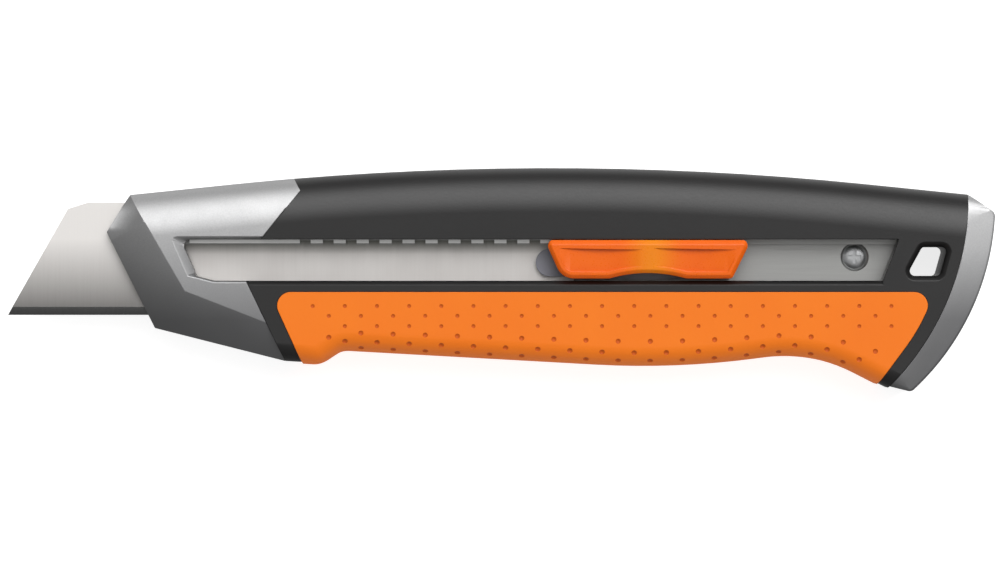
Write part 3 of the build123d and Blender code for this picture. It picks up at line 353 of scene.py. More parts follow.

# %% [markdown]
# ## Blade steel
# The blade is carbon steel, rolled, hardened and ground flat. The wheel leaves fine lines across the
# blade, which are a noise that is drawn out from the back to the edge, and coarser than real ones, so
# that they show. On the front, the tone falls towards the edge: painted shade. Behind the nose, a
# dull streak along the back is painted shadow, where the wall of the slot shades the blade.

# %% Ground steel
WHEEL_LINE, MOTTLE = 0.4, 11.0
DRAWN_OUT = (1.0, 0.03, 1.0)
SLOT_SHADOW_LINE, SLOT_SHADOW_REACH = 8.6 * MM, 3.0 * MM
FRONT_SHADE_DARK_Y, FRONT_SHADE_PALE_Y = -8 * MM, 9 * MM
FRONT_ENDS, REAR_STARTS = -82 * MM, -70 * MM

# Ground steel: pale and satin, with faint lines that run from the back of the blade to its edge.
blade_steel, tree, place = new_material("ground_blade_steel")
stretched = add(tree, "ShaderNodeMapping", {"Vector": place, "Scale": DRAWN_OUT})
lines = add(tree, "ShaderNodeTexNoise", {"Vector": stretched, "Scale": per_mm(WHEEL_LINE)})
cloud = add(tree, "ShaderNodeTexNoise", {"Vector": place, "Scale": per_mm(MOTTLE)})
tone = add(tree, "ShaderNodeMix", {SHARE: cloud, FIRST: linear("#cdc9c6"), SECOND: linear("#dcd9d6")},
           data_type="RGBA").outputs[MIXED]
spot = add(tree, "ShaderNodeSeparateXYZ", {0: place}).outputs
# Painted shadow: a dull streak along the back of the blade, where the slot's wall shades it.
painted_slot_shadow = near_line(tree, spot["Y"], SLOT_SHADOW_LINE, SLOT_SHADOW_REACH)
rear = add(tree, "ShaderNodeMix", {SHARE: painted_slot_shadow, FIRST: tone, SECOND: linear("#80807a")},
           data_type="RGBA").outputs[MIXED]
# Painted shade: the front of the blade gets darker towards its cutting edge.
falling = add(tree, "ShaderNodeMapRange",
              {"Value": spot["Y"], "From Min": FRONT_SHADE_DARK_Y, "From Max": FRONT_SHADE_PALE_Y})
painted_front_shade = add(tree, "ShaderNodeMix", {SHARE: falling, FIRST: linear("#6e6c6a"), SECOND: linear("#e9e6e3")},
            data_type="RGBA").outputs[MIXED]
behind = add(tree, "ShaderNodeMapRange",
             {"Value": spot["X"], "From Min": FRONT_ENDS, "From Max": REAR_STARTS})
ground = add(tree, "ShaderNodeMix", {SHARE: behind, FIRST: painted_front_shade, SECOND: rear},
             data_type="RGBA").outputs[MIXED]
coat(tree, ground, lines, relief=(0.03, 0.06), roughness=(0.46, 0.54), Metallic=1.0)
print("made", blade_steel.name)

# %% [markdown]
# ## Honed edge
# Two more strokes on a finer stone make the cutting bevel. It is nearly polished and faces away from
# the light, so it looks like a dark band; here that band is painted shade, a dark steel colour. A
# second material on those faces is simpler than a mask.

# %% Honed edge
HONE_LINE = 0.25
HONE_DRAWN_OUT = (1.0, 0.05, 1.0)

# Honed steel: a dark, even band along the edge, painted shade for a bevel facing away from the light.
honed_steel, tree, place = new_material("honed_blade_edge")
stretched = add(tree, "ShaderNodeMapping", {"Vector": place, "Scale": HONE_DRAWN_OUT})
lines = add(tree, "ShaderNodeTexNoise", {"Vector": stretched, "Scale": per_mm(HONE_LINE)})
tone = add(tree, "ShaderNodeMix", {SHARE: lines, FIRST: linear("#545454"), SECOND: linear("#606060")},
           data_type="RGBA").outputs[MIXED]
surface = add(tree, "ShaderNodeBsdfPrincipled", {"Base Color": tone, "Metallic": 1.0, "Roughness": 0.25})
add(tree, "ShaderNodeOutputMaterial", {"Surface": surface})
print("made", honed_steel.name)

# %% [markdown]
# ## Rail, screw and spring steel
# The rail is punched from rolled strip, so its lines run lengthwise, and the tops of its teeth get a
# painted highlight, a paler steel. The screws are zinc-plated, and the springs are bent from blued
# strip. They differ in colour and in how far their lines are drawn out, so a loop over a short table
# makes them all.

# %% Rail, screw and spring steel
ROLLED_LINE = 0.4
STEELS = {
    # name: dark and pale colour, range of roughness, how much the lines are drawn out along the strip
    "rolled_rail_steel": ("#9c9c9a", "#acacaa", (0.36, 0.46), 0.04),
    # Paler steel for the tops of the rail's teeth: a painted highlight.
    "sheared_rail_edge": ("#e4e4e2", "#f2f2f0", (0.40, 0.50), 0.04),
    "zinc_plated_screw_steel": ("#b0b1b2", "#c8c9ca", (0.30, 0.40), 1.0),
    "blued_spring_steel": ("#5a5b60", "#74757c", (0.28, 0.38), 0.2),
}

# Small steel parts: satin grey, bright on zinc, a painted highlight on the rail's teeth, dark where blued.
steels = {}
for name, (dark, pale, roughness, stretch) in STEELS.items():
    steels[name], tree, place = new_material(name)
    stretched = add(tree, "ShaderNodeMapping", {"Vector": place, "Scale": (stretch, 1.0, 1.0)})
    lines = add(tree, "ShaderNodeTexNoise", {"Vector": stretched, "Scale": per_mm(ROLLED_LINE)})
    tone = add(tree, "ShaderNodeMix", {SHARE: lines, FIRST: linear(dark), SECOND: linear(pale)},
               data_type="RGBA").outputs[MIXED]
    coat(tree, tone, lines, relief=(0.03, 0.06), roughness=roughness, Metallic=1.0)
rail_steel, tooth_highlight_steel, screw_steel, spring_steel = steels.values()
print("made", ", ".join(steels))

# %% [markdown]
# ## Slider plastics
# The carrier is acetal, a slippery grey plastic with a waxy sheen. The thumb button is orange ABS
# from a finely polished mould, so it is glossier than the rubber next to it. In the waist of the
# button, where the thumb rests, the orange is painted paler: a painted highlight where the saddle
# catches the light. The carrier is made by the same loop, with no highlight colour of its own.

# %% Carrier and button plastic
FLOW, MOULD_SKIN = 6.0, 0.4
WAIST_HIGHLIGHT_X, WAIST_HIGHLIGHT_REACH = 33.7 * MM, 7.5 * MM
PLASTICS = {
    # name: dark, pale and painted highlight colour, range of roughness, index of refraction
    "moulded_grey_acetal": ("#7c7d86", "#8c8d96", "#8c8d96", (0.34, 0.44), 1.48),
    "satin_orange_abs": ("#ca5004", "#d25e07", "#cd7104", (0.26, 0.34), 1.34),
}

# Polished mouldings: waxy grey and satin orange, with a highlight that stays soft at its rim.
plastics = {}
for name, (dark, pale, waist_highlight, roughness, bend) in PLASTICS.items():
    plastics[name], tree, place = new_material(name)
    cloud = add(tree, "ShaderNodeTexNoise", {"Vector": place, "Scale": per_mm(FLOW), "Detail": 3.0})
    skin = add(tree, "ShaderNodeTexNoise", {"Vector": place, "Scale": per_mm(MOULD_SKIN)})
    tone = add(tree, "ShaderNodeMix", {SHARE: cloud, FIRST: linear(dark), SECOND: linear(pale)},
               data_type="RGBA").outputs[MIXED]
    along = add(tree, "ShaderNodeSeparateXYZ", {0: place}).outputs["X"]
    # Painted highlight: paler colour in the waist of the button, where its saddle catches the light.
    painted_waist_highlight = near_line(tree, along, WAIST_HIGHLIGHT_X, WAIST_HIGHLIGHT_REACH, fall="SMOOTHSTEP")
    highlighted_tone = add(tree, "ShaderNodeMix", {SHARE: painted_waist_highlight, FIRST: tone, SECOND: linear(waist_highlight)},
               data_type="RGBA").outputs[MIXED]
    coat(tree, highlighted_tone, skin, relief=(0.03, 0.05), roughness=roughness, IOR=bend)
carrier_plastic, button_plastic = plastics.values()
print("made", ", ".join(plastics))

# %% [markdown]
# ## The line of the spine
# The back of the knife is one bowed form that runs over the nose, both halves of the handle and the
# tail cap. Each solid knows only its own stretch of it. So the crest is read from all four: of their
# points at the foot of the rounding, the outermost ones, like a string pulled tight over them.

# %% Line of the spine
SPINE_NODES = ("nose_casting", "left_shell", "right_shell", "tail_cap")
LEFT_SIDE = round(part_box("left_shell")[1].z / MM, 2)
LEFT_ROUND, RIGHT_ROUND = 6.5, 7.5
UPPER_PART = 10
AT_FOOT = 0.02

solid_points = [v.co.copy() for node in SPINE_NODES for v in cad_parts[node].data.vertices]
spine_line = []
for x, y in sorted({(p.x / MM, p.y / MM) for p in solid_points
                    if p.y > UPPER_PART * MM and abs(p.z / MM - LEFT_SIDE + LEFT_ROUND) < AT_FOOT}):
    # The last point is let go as long as it lies under the line from the one before it to the new one.
    while len(spine_line) > 1:
        (x0, y0), (x1, y1) = spine_line[-2:]
        if (x1 - x0) * (y - y1) < (y1 - y0) * (x - x1):
            break
        spine_line.pop()
    spine_line.append((x, y))
spine_x, spine_y = zip(*spine_line)


def below_spine(x, y):
    """How far a place is below the crest, in millimetres."""
    return np.interp(x, spine_x, spine_y) - y


print("points along the spine:", len(spine_line))

# %% [markdown]
# ## The rounding of the spine
# On the left side the real rounding runs out slowly, further down than the arc of the solid. The
# surface could be modelled again for it, but the eye reads a gentle rounding from its shading. So the
# mesh keeps its shape, and each point gets the direction that the broad rounding faces there.

# %% Rounding of the spine
LEFT_REACH = 9.8
SPINE_END = 103.9
SLOPE_REACH = 3
# How near counts as lying on the rounding, as a share of its radius, and on the side and the crest, in mm.
ON_ARC, ON_SIDE, ON_CREST = 0.02, 0.01, 0.06
MARGIN = 0.1


def on_arc(depth, rise, radius):
    return depth < radius and abs(math.hypot(rise / radius, 1 - depth / radius) - 1) < ON_ARC


def round_the_spine(place):
    """How much a point of the spine faces the left side: 1 there, -1 on the right, None off the spine."""
    x, y, z = (c / MM for c in place)
    if x > SPINE_END:
        return None
    depth = below_spine(x, y)
    left_rise, right_rise = z - LEFT_SIDE + LEFT_ROUND, RIGHT_ROUND - z
    if left_rise > 0:
        on_side = abs(z - LEFT_SIDE) < ON_SIDE and LEFT_ROUND - MARGIN < depth < LEFT_REACH + MARGIN
        if on_side or on_arc(depth, left_rise, LEFT_ROUND):
            outward = max(0.0, 1 - max(depth, 0.0) / LEFT_REACH)
            upward = math.sqrt(1 - outward * outward)
            return upward / LEFT_ROUND / math.hypot(outward / LEFT_REACH, upward / LEFT_ROUND)
    elif right_rise > 0:
        return -min(1.0, right_rise / RIGHT_ROUND) if on_arc(depth, right_rise, RIGHT_ROUND) else None
    elif abs(depth) < ON_CREST:
        return 0.0
    return None


def spine_direction(place, rise):
    """The direction that the spine faces at a point that lies so far round it."""
    x = place.x / MM
    slope = (below_spine(x + SLOPE_REACH, 0) - below_spine(x - SLOPE_REACH, 0)) / (2 * SLOPE_REACH)
    return Vector((-slope, 1, 0)).normalized() * math.sqrt(1 - rise * rise) + Vector((0, 0, rise))


print("solid points on the spine:", sum(round_the_spine(p) is not None for p in solid_points))

# %% [markdown]
# ## The brow of the nose
# The brow is the short facet between the nose's tip and its top. It is cast a little hollow, which
# turns its outer edge towards the light. As on the spine, this is done by the shading alone: the
# facet's points lean towards the light, most at the outer edge and not at all further in.

# %% Brow of the nose
BROW_TIP = Vector((-87.4, 10.5))
BROW_INWARD = Vector((0.847, -0.531))
BROW_WIDTH = 4.0
BROW_END = -78.5
# Height along the brow, mm: how far it leans
BROW_LEANS = {10.5: 0, 11.5: 0.75, 15.0: 0.75, 18.3: 0}
BROW_FACING = Vector((0, 0.33, 0.94)).normalized()
# A facet of the brow looks forward, and neither along the knife nor straight up.
FORWARD = -0.1
SLANT_LOW, SLANT_HIGH = 0.3, 0.98


def hollowed(place, facing):
    """The direction that a point of the nose's brow faces, or the one it had if it isn't on the brow."""
    spot = place.xy / MM
    inward = (spot - BROW_TIP).dot(BROW_INWARD)
    slanted = facing.x < FORWARD and SLANT_LOW < facing.z < SLANT_HIGH
    if inward > BROW_WIDTH or spot.x >= BROW_END or not slanted:
        return facing
    lean = np.interp(spot.y, list(BROW_LEANS), list(BROW_LEANS.values())) * (1 - inward / BROW_WIDTH)
    return facing.lerp(BROW_FACING, lean).normalized()


print("the brow leans to the light by up to:", max(BROW_LEANS.values()))

# %% [markdown]
# ## Strips for the rounding
# Shading directions sit on the points of a mesh, and the flat left side has none where the broad
# rounding runs out. A fine grid over the whole side would do. A few cuts along that line are enough,
# one for each strip of eight millimetres.

# %% Helpers for strips
STRIP = 8
STRIPS = range(-96, 112, STRIP)
FLAT = 0.99999
ON_CUT = 0.0001 * MM


def side_parts(shape, start, end):
    """Faces, edges and points of the flat left side near the spine, between two places along it."""
    faces = [f for f in shape.faces if f.normal.z > FLAT and abs(f.verts[0].co.z / MM - LEFT_SIDE) < ON_SIDE
             and start < f.calc_center_median().x / MM < end
             and any(below_spine(v.co.x / MM, v.co.y / MM) < LEFT_REACH - MARGIN for v in f.verts)]
    return list({*faces, *(e for f in faces for e in f.edges), *(v for f in faces for v in f.verts)})


def cut_strips(shape):
    """Cuts the flat left side along the line where the broad rounding of the spine runs out."""
    for x in STRIPS[1:]:
        bmesh.ops.bisect_plane(shape, geom=side_parts(shape, -math.inf, math.inf), dist=ON_CUT,
                               plane_co=(x * MM, 0, 0), plane_no=(1, 0, 0))
    for x in STRIPS:
        start, end = (Vector((s, below_spine(s, LEFT_REACH), 0)) * MM for s in (x, x + STRIP))
        bmesh.ops.bisect_plane(shape, geom=side_parts(shape, x, x + STRIP), dist=ON_CUT,
                               plane_co=start, plane_no=(start.y - end.y, end.x - start.x, 0))


print("strips along the spine:", len(STRIPS))

# %% [markdown]
# ## Crisp edges
# A moulded or cast piece is smooth all over, with crisp edges here and there. A mark on each edge by
# hand would be exact, but a limit on the angle between two faces finds nearly all of them. Along the
# spine the surface flows on over such an edge, so there it isn't crisp.

# %% Helpers for crisp edges
SHARP = math.radians(22)


def mark_spine(shape):
    """How each point of a shape faces round the spine, and the faces that are part of the spine."""
    rises = {v: round_the_spine(v.co) for v in shape.verts}
    return rises, {f for f in shape.faces if all(rises[v] is not None for v in f.verts)}


def is_crisp(edge, on_spine):
    """Whether an edge shows: it is sharp, and no seam where the spine flows on."""
    flows = any(f in on_spine for f in edge.link_faces) and all(
        f in on_spine or abs(f.normal.z) > FLAT for f in edge.link_faces)
    return not edge.is_manifold or (edge.calc_face_angle(0) > SHARP and not flows)


print("edges are crisp from, degrees:", round(math.degrees(SHARP)))

# %% [markdown]
# ## Shading
# Blender's own smooth shading averages all faces round a point, which bends the light on large flat
# sides. So the faces between two crisp edges are taken as a fan, and each fan faces one way: as the
# spine does there, as its flat side if it has one, or else as its faces do on average.

# %% Helpers for shading
def fans(point):
    """The corners at a point, in groups that no crisp edge parts."""
    waiting = set(point.link_loops)
    by_face = {corner.face: corner for corner in waiting}
    while waiting:
        fan = [waiting.pop()]
        for corner in fan:
            for edge in corner.face.edges:
                if edge.smooth and point in edge.verts:
                    beyond = [by_face[face] for face in edge.link_faces if by_face[face] in waiting]
                    waiting.difference_update(beyond)
                    fan.extend(beyond)
        yield fan


def fan_direction(point, fan, rise, on_spine):
    """The direction in which a fan faces."""
    if rise is not None and any(corner.face in on_spine for corner in fan):
        return spine_direction(point.co, rise)
    for corner in fan:
        if abs(corner.face.normal.z) > FLAT:
            return corner.face.normal.copy()
    total = sum((corner.face.normal * corner.calc_angle() for corner in fan), Vector())
    return hollowed(point.co, total.normalized())


def even_normals(mesh):
    """Gives each corner of a mesh the direction of its fan."""
    shape = bmesh.new()
    shape.from_mesh(mesh)
    rises, on_spine = mark_spine(shape)
    facing = {}
    for point in shape.verts:
        for fan in fans(point):
            direction = fan_direction(point, fan, rises[point], on_spine)
            facing.update({(corner.face.index, point.index): direction for corner in fan})
    shape.free()
    mesh.normals_split_custom_set([facing[f.index, v] for f in mesh.polygons for v in f.vertices])


def shaded(mesh, shape):
    """Writes a shape back to its mesh, smooth all over but for its crisp edges."""
    _, on_spine = mark_spine(shape)
    for face in shape.faces:
        face.smooth = True
    for edge in shape.edges:
        edge.smooth = not is_crisp(edge, on_spine)
    shape.to_mesh(mesh)
    shape.free()
    even_normals(mesh)


print("shading helpers for", len(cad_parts), "solids")

# %% [markdown]
# ## Room for a bevel
# A real casting or moulding has no knife-sharp edge: a small radius along each one catches the light.
# A Bevel modifier would take all edges alike, and fold where they are crowded. So only an edge with
# room for its bevel gets one, and the round of the spine needs none.

# %% Helper for bevels
BEND = math.radians(40)
ROOM_ACROSS, ROOM_ALONG = 1.5, 2.5


def roomy_edges(shape, width):
    """Crisp edges that have room for a bevel of a width, but for those on the round of the spine."""
    _, on_spine = mark_spine(shape)
    crisp = {e for e in shape.edges if is_crisp(e, on_spine)}
    tight = set()
    for point in {v for e in crisp for v in e.verts}:
        arms = [e.other_vert(point).co - point.co for e in point.link_edges if e in crisp]
        bent = len(arms) != 2 or arms[0].angle(-arms[1]) > BEND
        if any(e.calc_length() < ROOM_ACROSS * width for e in point.link_edges if e not in crisp):
            tight.add(point)
        if bent and any(arm.length < ROOM_ALONG * width for arm in arms):
            tight.add(point)
    round_faces = {f for f in on_spine if abs(f.normal.z) < FLAT}
    return [e for e in crisp
            if not tight.intersection(e.verts) and not round_faces.intersection(e.link_faces)]


print("room for a bevel, in widths:", ROOM_ACROSS, "across and", ROOM_ALONG, "along")

# %% [markdown]
# ## From solid to piece
# A solid arrives as loose triangles with crisp edges, and it has to stay as it is. So a copy of it is
# merged, its flat faces are joined, and its edges are softened. The piece then stands for the solid
# and rides on the same body, so that it moves as the solid does.

# %% Helpers that dress a solid
SAME_POINT = 0.002 * MM
SAME_FACE = math.radians(0.03)


def dressed(node, finish, soften_mm=0.0):
    """A copy of a solid, merged and softened, with a finish."""
    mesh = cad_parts[node].data.copy()
    mesh.materials.clear()
    mesh.materials.append(finish)
    shape = bmesh.new()
    shape.from_mesh(mesh)
    bmesh.ops.remove_doubles(shape, verts=shape.verts, dist=SAME_POINT)
    bmesh.ops.dissolve_limit(shape, angle_limit=SAME_FACE, verts=shape.verts, edges=shape.edges)
    if node in SPINE_NODES:
        cut_strips(shape)
    if soften_mm:
        crisp = roomy_edges(shape, soften_mm * MM)
        bmesh.ops.bevel(shape, geom=crisp, offset=soften_mm * MM, offset_type="OFFSET", segments=2,
                        profile=0.5, affect="EDGES", clamp_overlap=False)
        print(node, "edges softened:", len(crisp))
    for face in shape.faces:
        face.material_index = 0
    shaded(mesh, shape)
    piece = bpy.data.objects.new(node + "_dressed", mesh)
    bpy.context.collection.objects.link(piece)
    return piece


def fasten(piece, node, body):
    """Puts a piece in the place of its solid, on the body that carries it."""
    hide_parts(node)
    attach(piece, body)
    print(piece.name, "stands for", node, "with", len(piece.data.polygons), "faces")


print("triangles to dress:", sum(len(solid.data.polygons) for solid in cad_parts.values()))

# %% [markdown]
# ## Nose and tail cap
# Both castings close an end of the handle, and the nose also guides the blade. A die leaves no
# knife-sharp edge, and blasting rounds what is left. So all edges with room for it get a bevel of
# 0.15 mm, and the broad rounding of the spine runs on from casting to casting. The tail's side is
# crowned from end to end, so its shading leans slowly from the belly to the spine.

# %% Castings
CAST_EDGE = 0.15
TAIL_ENDS, TAIL_LEANS, TAIL_CROWN = (-16, 6), (-0.11, 0.04), 0.8

nose = dressed("nose_casting", cast_metal, soften_mm=CAST_EDGE)
fasten(nose, "nose_casting", "handle")
tail = dressed("tail_cap", cast_metal, soften_mm=CAST_EDGE)
crowned = []
for corner, own in zip(tail.data.loops, tail.data.corner_normals):
    lean = np.interp(tail.data.vertices[corner.vertex_index].co.y / MM, TAIL_ENDS, TAIL_LEANS)
    share = TAIL_CROWN * max(own.vector.z, 0) ** 2
    crowned.append(own.vector.lerp(Vector((0, lean, 1)), share).normalized())
tail.data.normals_split_custom_set(crowned)
fasten(tail, "tail_cap", "handle")

# %% [markdown]
# ## Handle halves
# The handle is two mouldings that meet over the rail. A mould wears, so its edges are rounder than
# they were drawn, by about a tenth of a millimetre. More would open the joint to the nose, which has
# to look tight.

# %% Handle halves
MOULDED_EDGE = 0.12

left_half = dressed("left_shell", handle_plastic, soften_mm=MOULDED_EDGE)
fasten(left_half, "left_shell", "handle")
right_half = dressed("right_shell", handle_plastic, soften_mm=MOULDED_EDGE)
fasten(right_half, "right_shell", "handle")

# %% [markdown]
# ## Blade
# A blade keeps its sharp edges: bevels would make it a butter knife. What sets the cutting edge off
# is its second grind, which slants and gets a steel of its own. Its faces are known by their slant,
# so the blade needs no list of them.

# %% Blade
LEAST_SLANT, MOST_SLANT = 0.02, 0.9
FACING_SIDE = 0.5

blade = dressed("blade", blade_steel)
blade.data.materials.append(honed_steel)
honed = [face for face in blade.data.polygons
         if LEAST_SLANT < abs(face.normal.y) < MOST_SLANT and abs(face.normal.z) > FACING_SIDE]
for face in honed:
    face.material_index = 1
fasten(blade, "blade", "slider")
print("honed faces:", len(honed))

# %% [markdown]
# ## Thumb button
# The button is a small hard moulding that a thumb pushes down and along. Its rim is rounded for the
# skin, like the handle's edges. The upper rim reaches over the teeth of the rail, up to the wall of
# the slot, so the points near it are moved up. Where bevels meet in a corner they can rise a little,
# so no point may be higher than the solid's top.

# %% Button
BRIM, BRIM_START = 0.5, 6.5

button_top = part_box("thumb_button")[1] / MM
button = dressed("thumb_button", button_plastic, soften_mm=MOULDED_EDGE)
for point in button.data.vertices:
    point.co.y += BRIM * MM * np.interp(point.co.y / MM, (BRIM_START, button_top.y), (0, 1))
    point.co.z = min(point.co.z, button_top.z * MM)
fasten(button, "thumb_button", "button")

# %% [markdown]
# ## Geometry trees
# The dimples and the screws come again and again, so each is made by a tree of geometry nodes. A tree
# has a named input for each size. It runs as a modifier on a mesh, and the result is kept as a plain
# mesh, so that nothing is left to compute later.

# %% Helpers for geometry trees
SAME_GROWN_POINT = 0.001 * MM


def new_tree(name, sizes):
    """A tree with a named input for each size, and the sockets of its inputs."""
    tree = bpy.data.node_groups.new(name, "GeometryNodeTree")
    tree.interface.new_socket("Geometry", in_out="INPUT", socket_type="NodeSocketGeometry")
    tree.interface.new_socket("Geometry", in_out="OUTPUT", socket_type="NodeSocketGeometry")
    for size, value in sizes.items():
        tree.interface.new_socket(size, in_out="INPUT", socket_type="NodeSocketFloat").default_value = value
    return tree, add(tree, "NodeGroupInput").outputs


def grow(piece, tree, sizes):
    """Runs a tree on a piece with its own sizes, and keeps the result as the piece's mesh."""
    modifier = piece.modifiers.new(tree.name, "NODES")
    modifier.node_group = tree
    for item in tree.interface.items_tree:
        if item.name in sizes:
            modifier[item.identifier] = sizes[item.name]
    result = bpy.data.meshes.new_from_object(piece.evaluated_get(bpy.context.evaluated_depsgraph_get()))
    piece.modifiers.remove(modifier)
    piece.data = result
    shape = bmesh.new()
    shape.from_mesh(result)
    bmesh.ops.remove_doubles(shape, verts=shape.verts, dist=SAME_GROWN_POINT)
    shaded(result, shape)


print("geometry trees so far:", len(bpy.data.node_groups))

# %% [markdown]
# ## Rows of dimples
# Six staggered rows of dimples give the thumb and fingers hold. The upper three rows run straight, and
# the lower three follow the finger-shaped belly, each at its own share of the way down. Each row is a
# line of points at first, and an attribute says how far its points go towards the belly.

# %% Rows of dimples
SPACING, FIRST_DIMPLE, TOP_ROW = 7.11, -41.47, -5.91
ROWS = (
    # drop below the top row, share of the way to the belly, half spacings from the first dimple, count
    (0.0, 0.0, 0, 19), (2.18, 0.0, 1, 18), (4.45, 0.0, 2, 18),
    (0.0, 0.587, 1, 18), (0.0, 0.775, 2, 17), (0.0, 0.91, 3, 16),
)
DIMPLE_RADIUS, DIMPLE_DEPTH = 0.54, 0.24
BALL_RADIUS = (DIMPLE_RADIUS ** 2 + DIMPLE_DEPTH ** 2) / (2 * DIMPLE_DEPTH)
DIMPLES = {"Spacing": SPACING * MM, "Ball radius": BALL_RADIUS * MM, "Depth": DIMPLE_DEPTH * MM,
           "Smallest": 0.85, "Growth": 0.4, "Clearance": 1.6 * MM, "Side": 1.0}

dimple_tree, sizes = new_tree("dimples", DIMPLES)
step = add(dimple_tree, "ShaderNodeCombineXYZ", {"X": sizes["Spacing"]})
joined = add(dimple_tree, "GeometryNodeJoinGeometry")
for drop, share, halves, count in ROWS:
    # The start of a row is kept to a hundredth of a millimetre.
    first = round(FIRST_DIMPLE + halves * SPACING / 2, 2)
    start = (first * MM, (TOP_ROW - drop) * MM, 0)
    row = add(dimple_tree, "GeometryNodeMeshLine", {"Count": count, "Start Location": start, "Offset": step},
              mode="OFFSET")
    kept = add(dimple_tree, "GeometryNodeStoreNamedAttribute",
               {"Geometry": row, "Name": "reach", "Value": share}, data_type="FLOAT", domain="POINT")
    dimple_tree.links.new(kept.outputs[0], joined.inputs[0])
print("dimples laid out:", sum(count for *_, count in ROWS))

# %% [markdown]
# ## Places on the rubber
# The points are still flat on a plane. One ray from below finds the belly under each point, and the
# point goes its share of the way there. A second ray, from outside, drops it onto the rubber. Points
# that miss the rubber or would touch a screw are left out. The places could be written down instead,
# but they would be wrong as soon as the pad changes.

# %% Places on the rubber
PARTING, BELLY_LEVEL = 9.5 * MM, 2 * MM
OUTSIDE = 60 * MM
RAY = 0.2

rubber, side = sizes["Geometry"], sizes["Side"]
reach = add(dimple_tree, "GeometryNodeInputNamedAttribute", {"Name": "reach"}, data_type="FLOAT")
spot = add(dimple_tree, "GeometryNodeInputPosition")
laid = add(dimple_tree, "ShaderNodeSeparateXYZ", {0: spot}).outputs
level = add(dimple_tree, "ShaderNodeMath", {0: side, 1: BELLY_LEVEL, 2: PARTING}, operation="MULTIPLY_ADD")
below = add(dimple_tree, "ShaderNodeCombineXYZ", {"X": laid["X"], "Y": -OUTSIDE, "Z": level})
belly = add(dimple_tree, "GeometryNodeRaycast",
            {"Target Geometry": rubber, "Source Position": below, "Ray Direction": (0, 1, 0),
             "Ray Length": RAY})
edge = add(dimple_tree, "ShaderNodeSeparateXYZ", {0: belly.outputs["Hit Position"]}).outputs["Y"]
lowered = add(dimple_tree, "ShaderNodeMix", {"Factor": reach, "A": laid["Y"], "B": edge}, data_type="FLOAT")
outside = add(dimple_tree, "ShaderNodeMath", {0: side, 1: OUTSIDE}, operation="MULTIPLY")
above = add(dimple_tree, "ShaderNodeCombineXYZ", {"X": laid["X"], "Y": lowered, "Z": outside})
inward = add(dimple_tree, "ShaderNodeVectorMath", {0: (0, 0, -1), "Scale": side}, operation="SCALE")
seat = add(dimple_tree, "GeometryNodeRaycast",
           {"Target Geometry": rubber, "Source Position": above,
            "Ray Direction": inward, "Ray Length": RAY}).outputs
screws = add(dimple_tree, "GeometryNodeObjectInfo", {"Object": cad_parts["shell_screws"]})
near = add(dimple_tree, "GeometryNodeProximity",
           {"Geometry": screws.outputs["Geometry"], "Sample Position": seat["Hit Position"]},
           target_element="FACES")
touching = add(dimple_tree, "ShaderNodeMath", {0: near.outputs["Distance"], 1: sizes["Clearance"]},
               operation="LESS_THAN")
lost = add(dimple_tree, "FunctionNodeBooleanMath", {0: seat["Is Hit"], 1: touching}, operation="IMPLY")
free = add(dimple_tree, "GeometryNodeDeleteGeometry",
           {"Geometry": joined, "Selection": lost}, domain="POINT")
print("nodes in the tree so far:", len(dimple_tree.nodes))

# %% [markdown]
# ## Grip pads
# The pads are soft mouldings let into both halves of the handle. Each dimple is cut by a ball that
# stands so far proud of the rubber that only a shallow cap is sunk. The lower the row, the larger it
# is. A bump in the material would be cheaper, but a real hollow also shows in the mesh. The balls mark
# their hollows for the painted shade in the rubber's colour.

# %% Grip pads
BALL_SIDES, BALL_RINGS = 14, 10

ball, depth = sizes["Ball radius"], sizes["Depth"]
larger = add(dimple_tree, "ShaderNodeMath", {0: reach, 1: sizes["Growth"], 2: sizes["Smallest"]},
             operation="MULTIPLY_ADD")
proud = add(dimple_tree, "ShaderNodeMath", {0: ball, 1: depth}, operation="SUBTRACT")
lift = add(dimple_tree, "ShaderNodeMath", {0: proud, 1: larger}, operation="MULTIPLY")
offset = add(dimple_tree, "ShaderNodeVectorMath", {0: seat["Hit Normal"], "Scale": lift},
             operation="SCALE")
placed = add(dimple_tree, "GeometryNodeSetPosition",
             {"Geometry": free, "Position": seat["Hit Position"], "Offset": offset})
sphere = add(dimple_tree, "GeometryNodeMeshUVSphere",
             {"Segments": BALL_SIDES, "Rings": BALL_RINGS, "Radius": ball})
balls = add(dimple_tree, "GeometryNodeInstanceOnPoints",
            {"Points": placed, "Instance": sphere, "Scale": larger})
apart = add(dimple_tree, "GeometryNodeRealizeInstances", {0: balls})
# The balls' faces are marked for the painted shade in the dimples.
marked = [add(dimple_tree, "GeometryNodeStoreNamedAttribute",
              {"Geometry": mesh, "Name": "hollow", "Value": value}, data_type="FLOAT", domain="FACE")
          for mesh, value in ((rubber, 0.0), (apart, 1.0))]
sunk = add(dimple_tree, "GeometryNodeMeshBoolean", {"Mesh 1": marked[0], "Mesh 2": marked[1]},
           operation="DIFFERENCE", solver="EXACT")
whole = add(dimple_tree, "GeometryNodeRealizeInstances", {0: sunk})
coated = add(dimple_tree, "GeometryNodeSetMaterial", {"Geometry": whole, "Material": grip_rubber})
add(dimple_tree, "NodeGroupOutput", {0: coated})

for node, facing in (("left_grip_pad", 1.0), ("right_grip_pad", -1.0)):
    pad = dressed(node, grip_rubber, soften_mm=MOULDED_EDGE)
    grow(pad, dimple_tree, {**DIMPLES, "Side": facing})
    fasten(pad, node, "handle")

# %% [markdown]
# ## Heads of the screws
# Two kinds of screw hold the knife together: pan heads from the right side, and one countersunk head on
# the rail. Both have a domed top, a cross recess and a plain shank. A countersunk head is a cone, so
# only its radius underneath differs, and one tree makes both from their sizes. The dome is flat in the
# middle and falls steeply at the rim, as on a head that was struck cold.

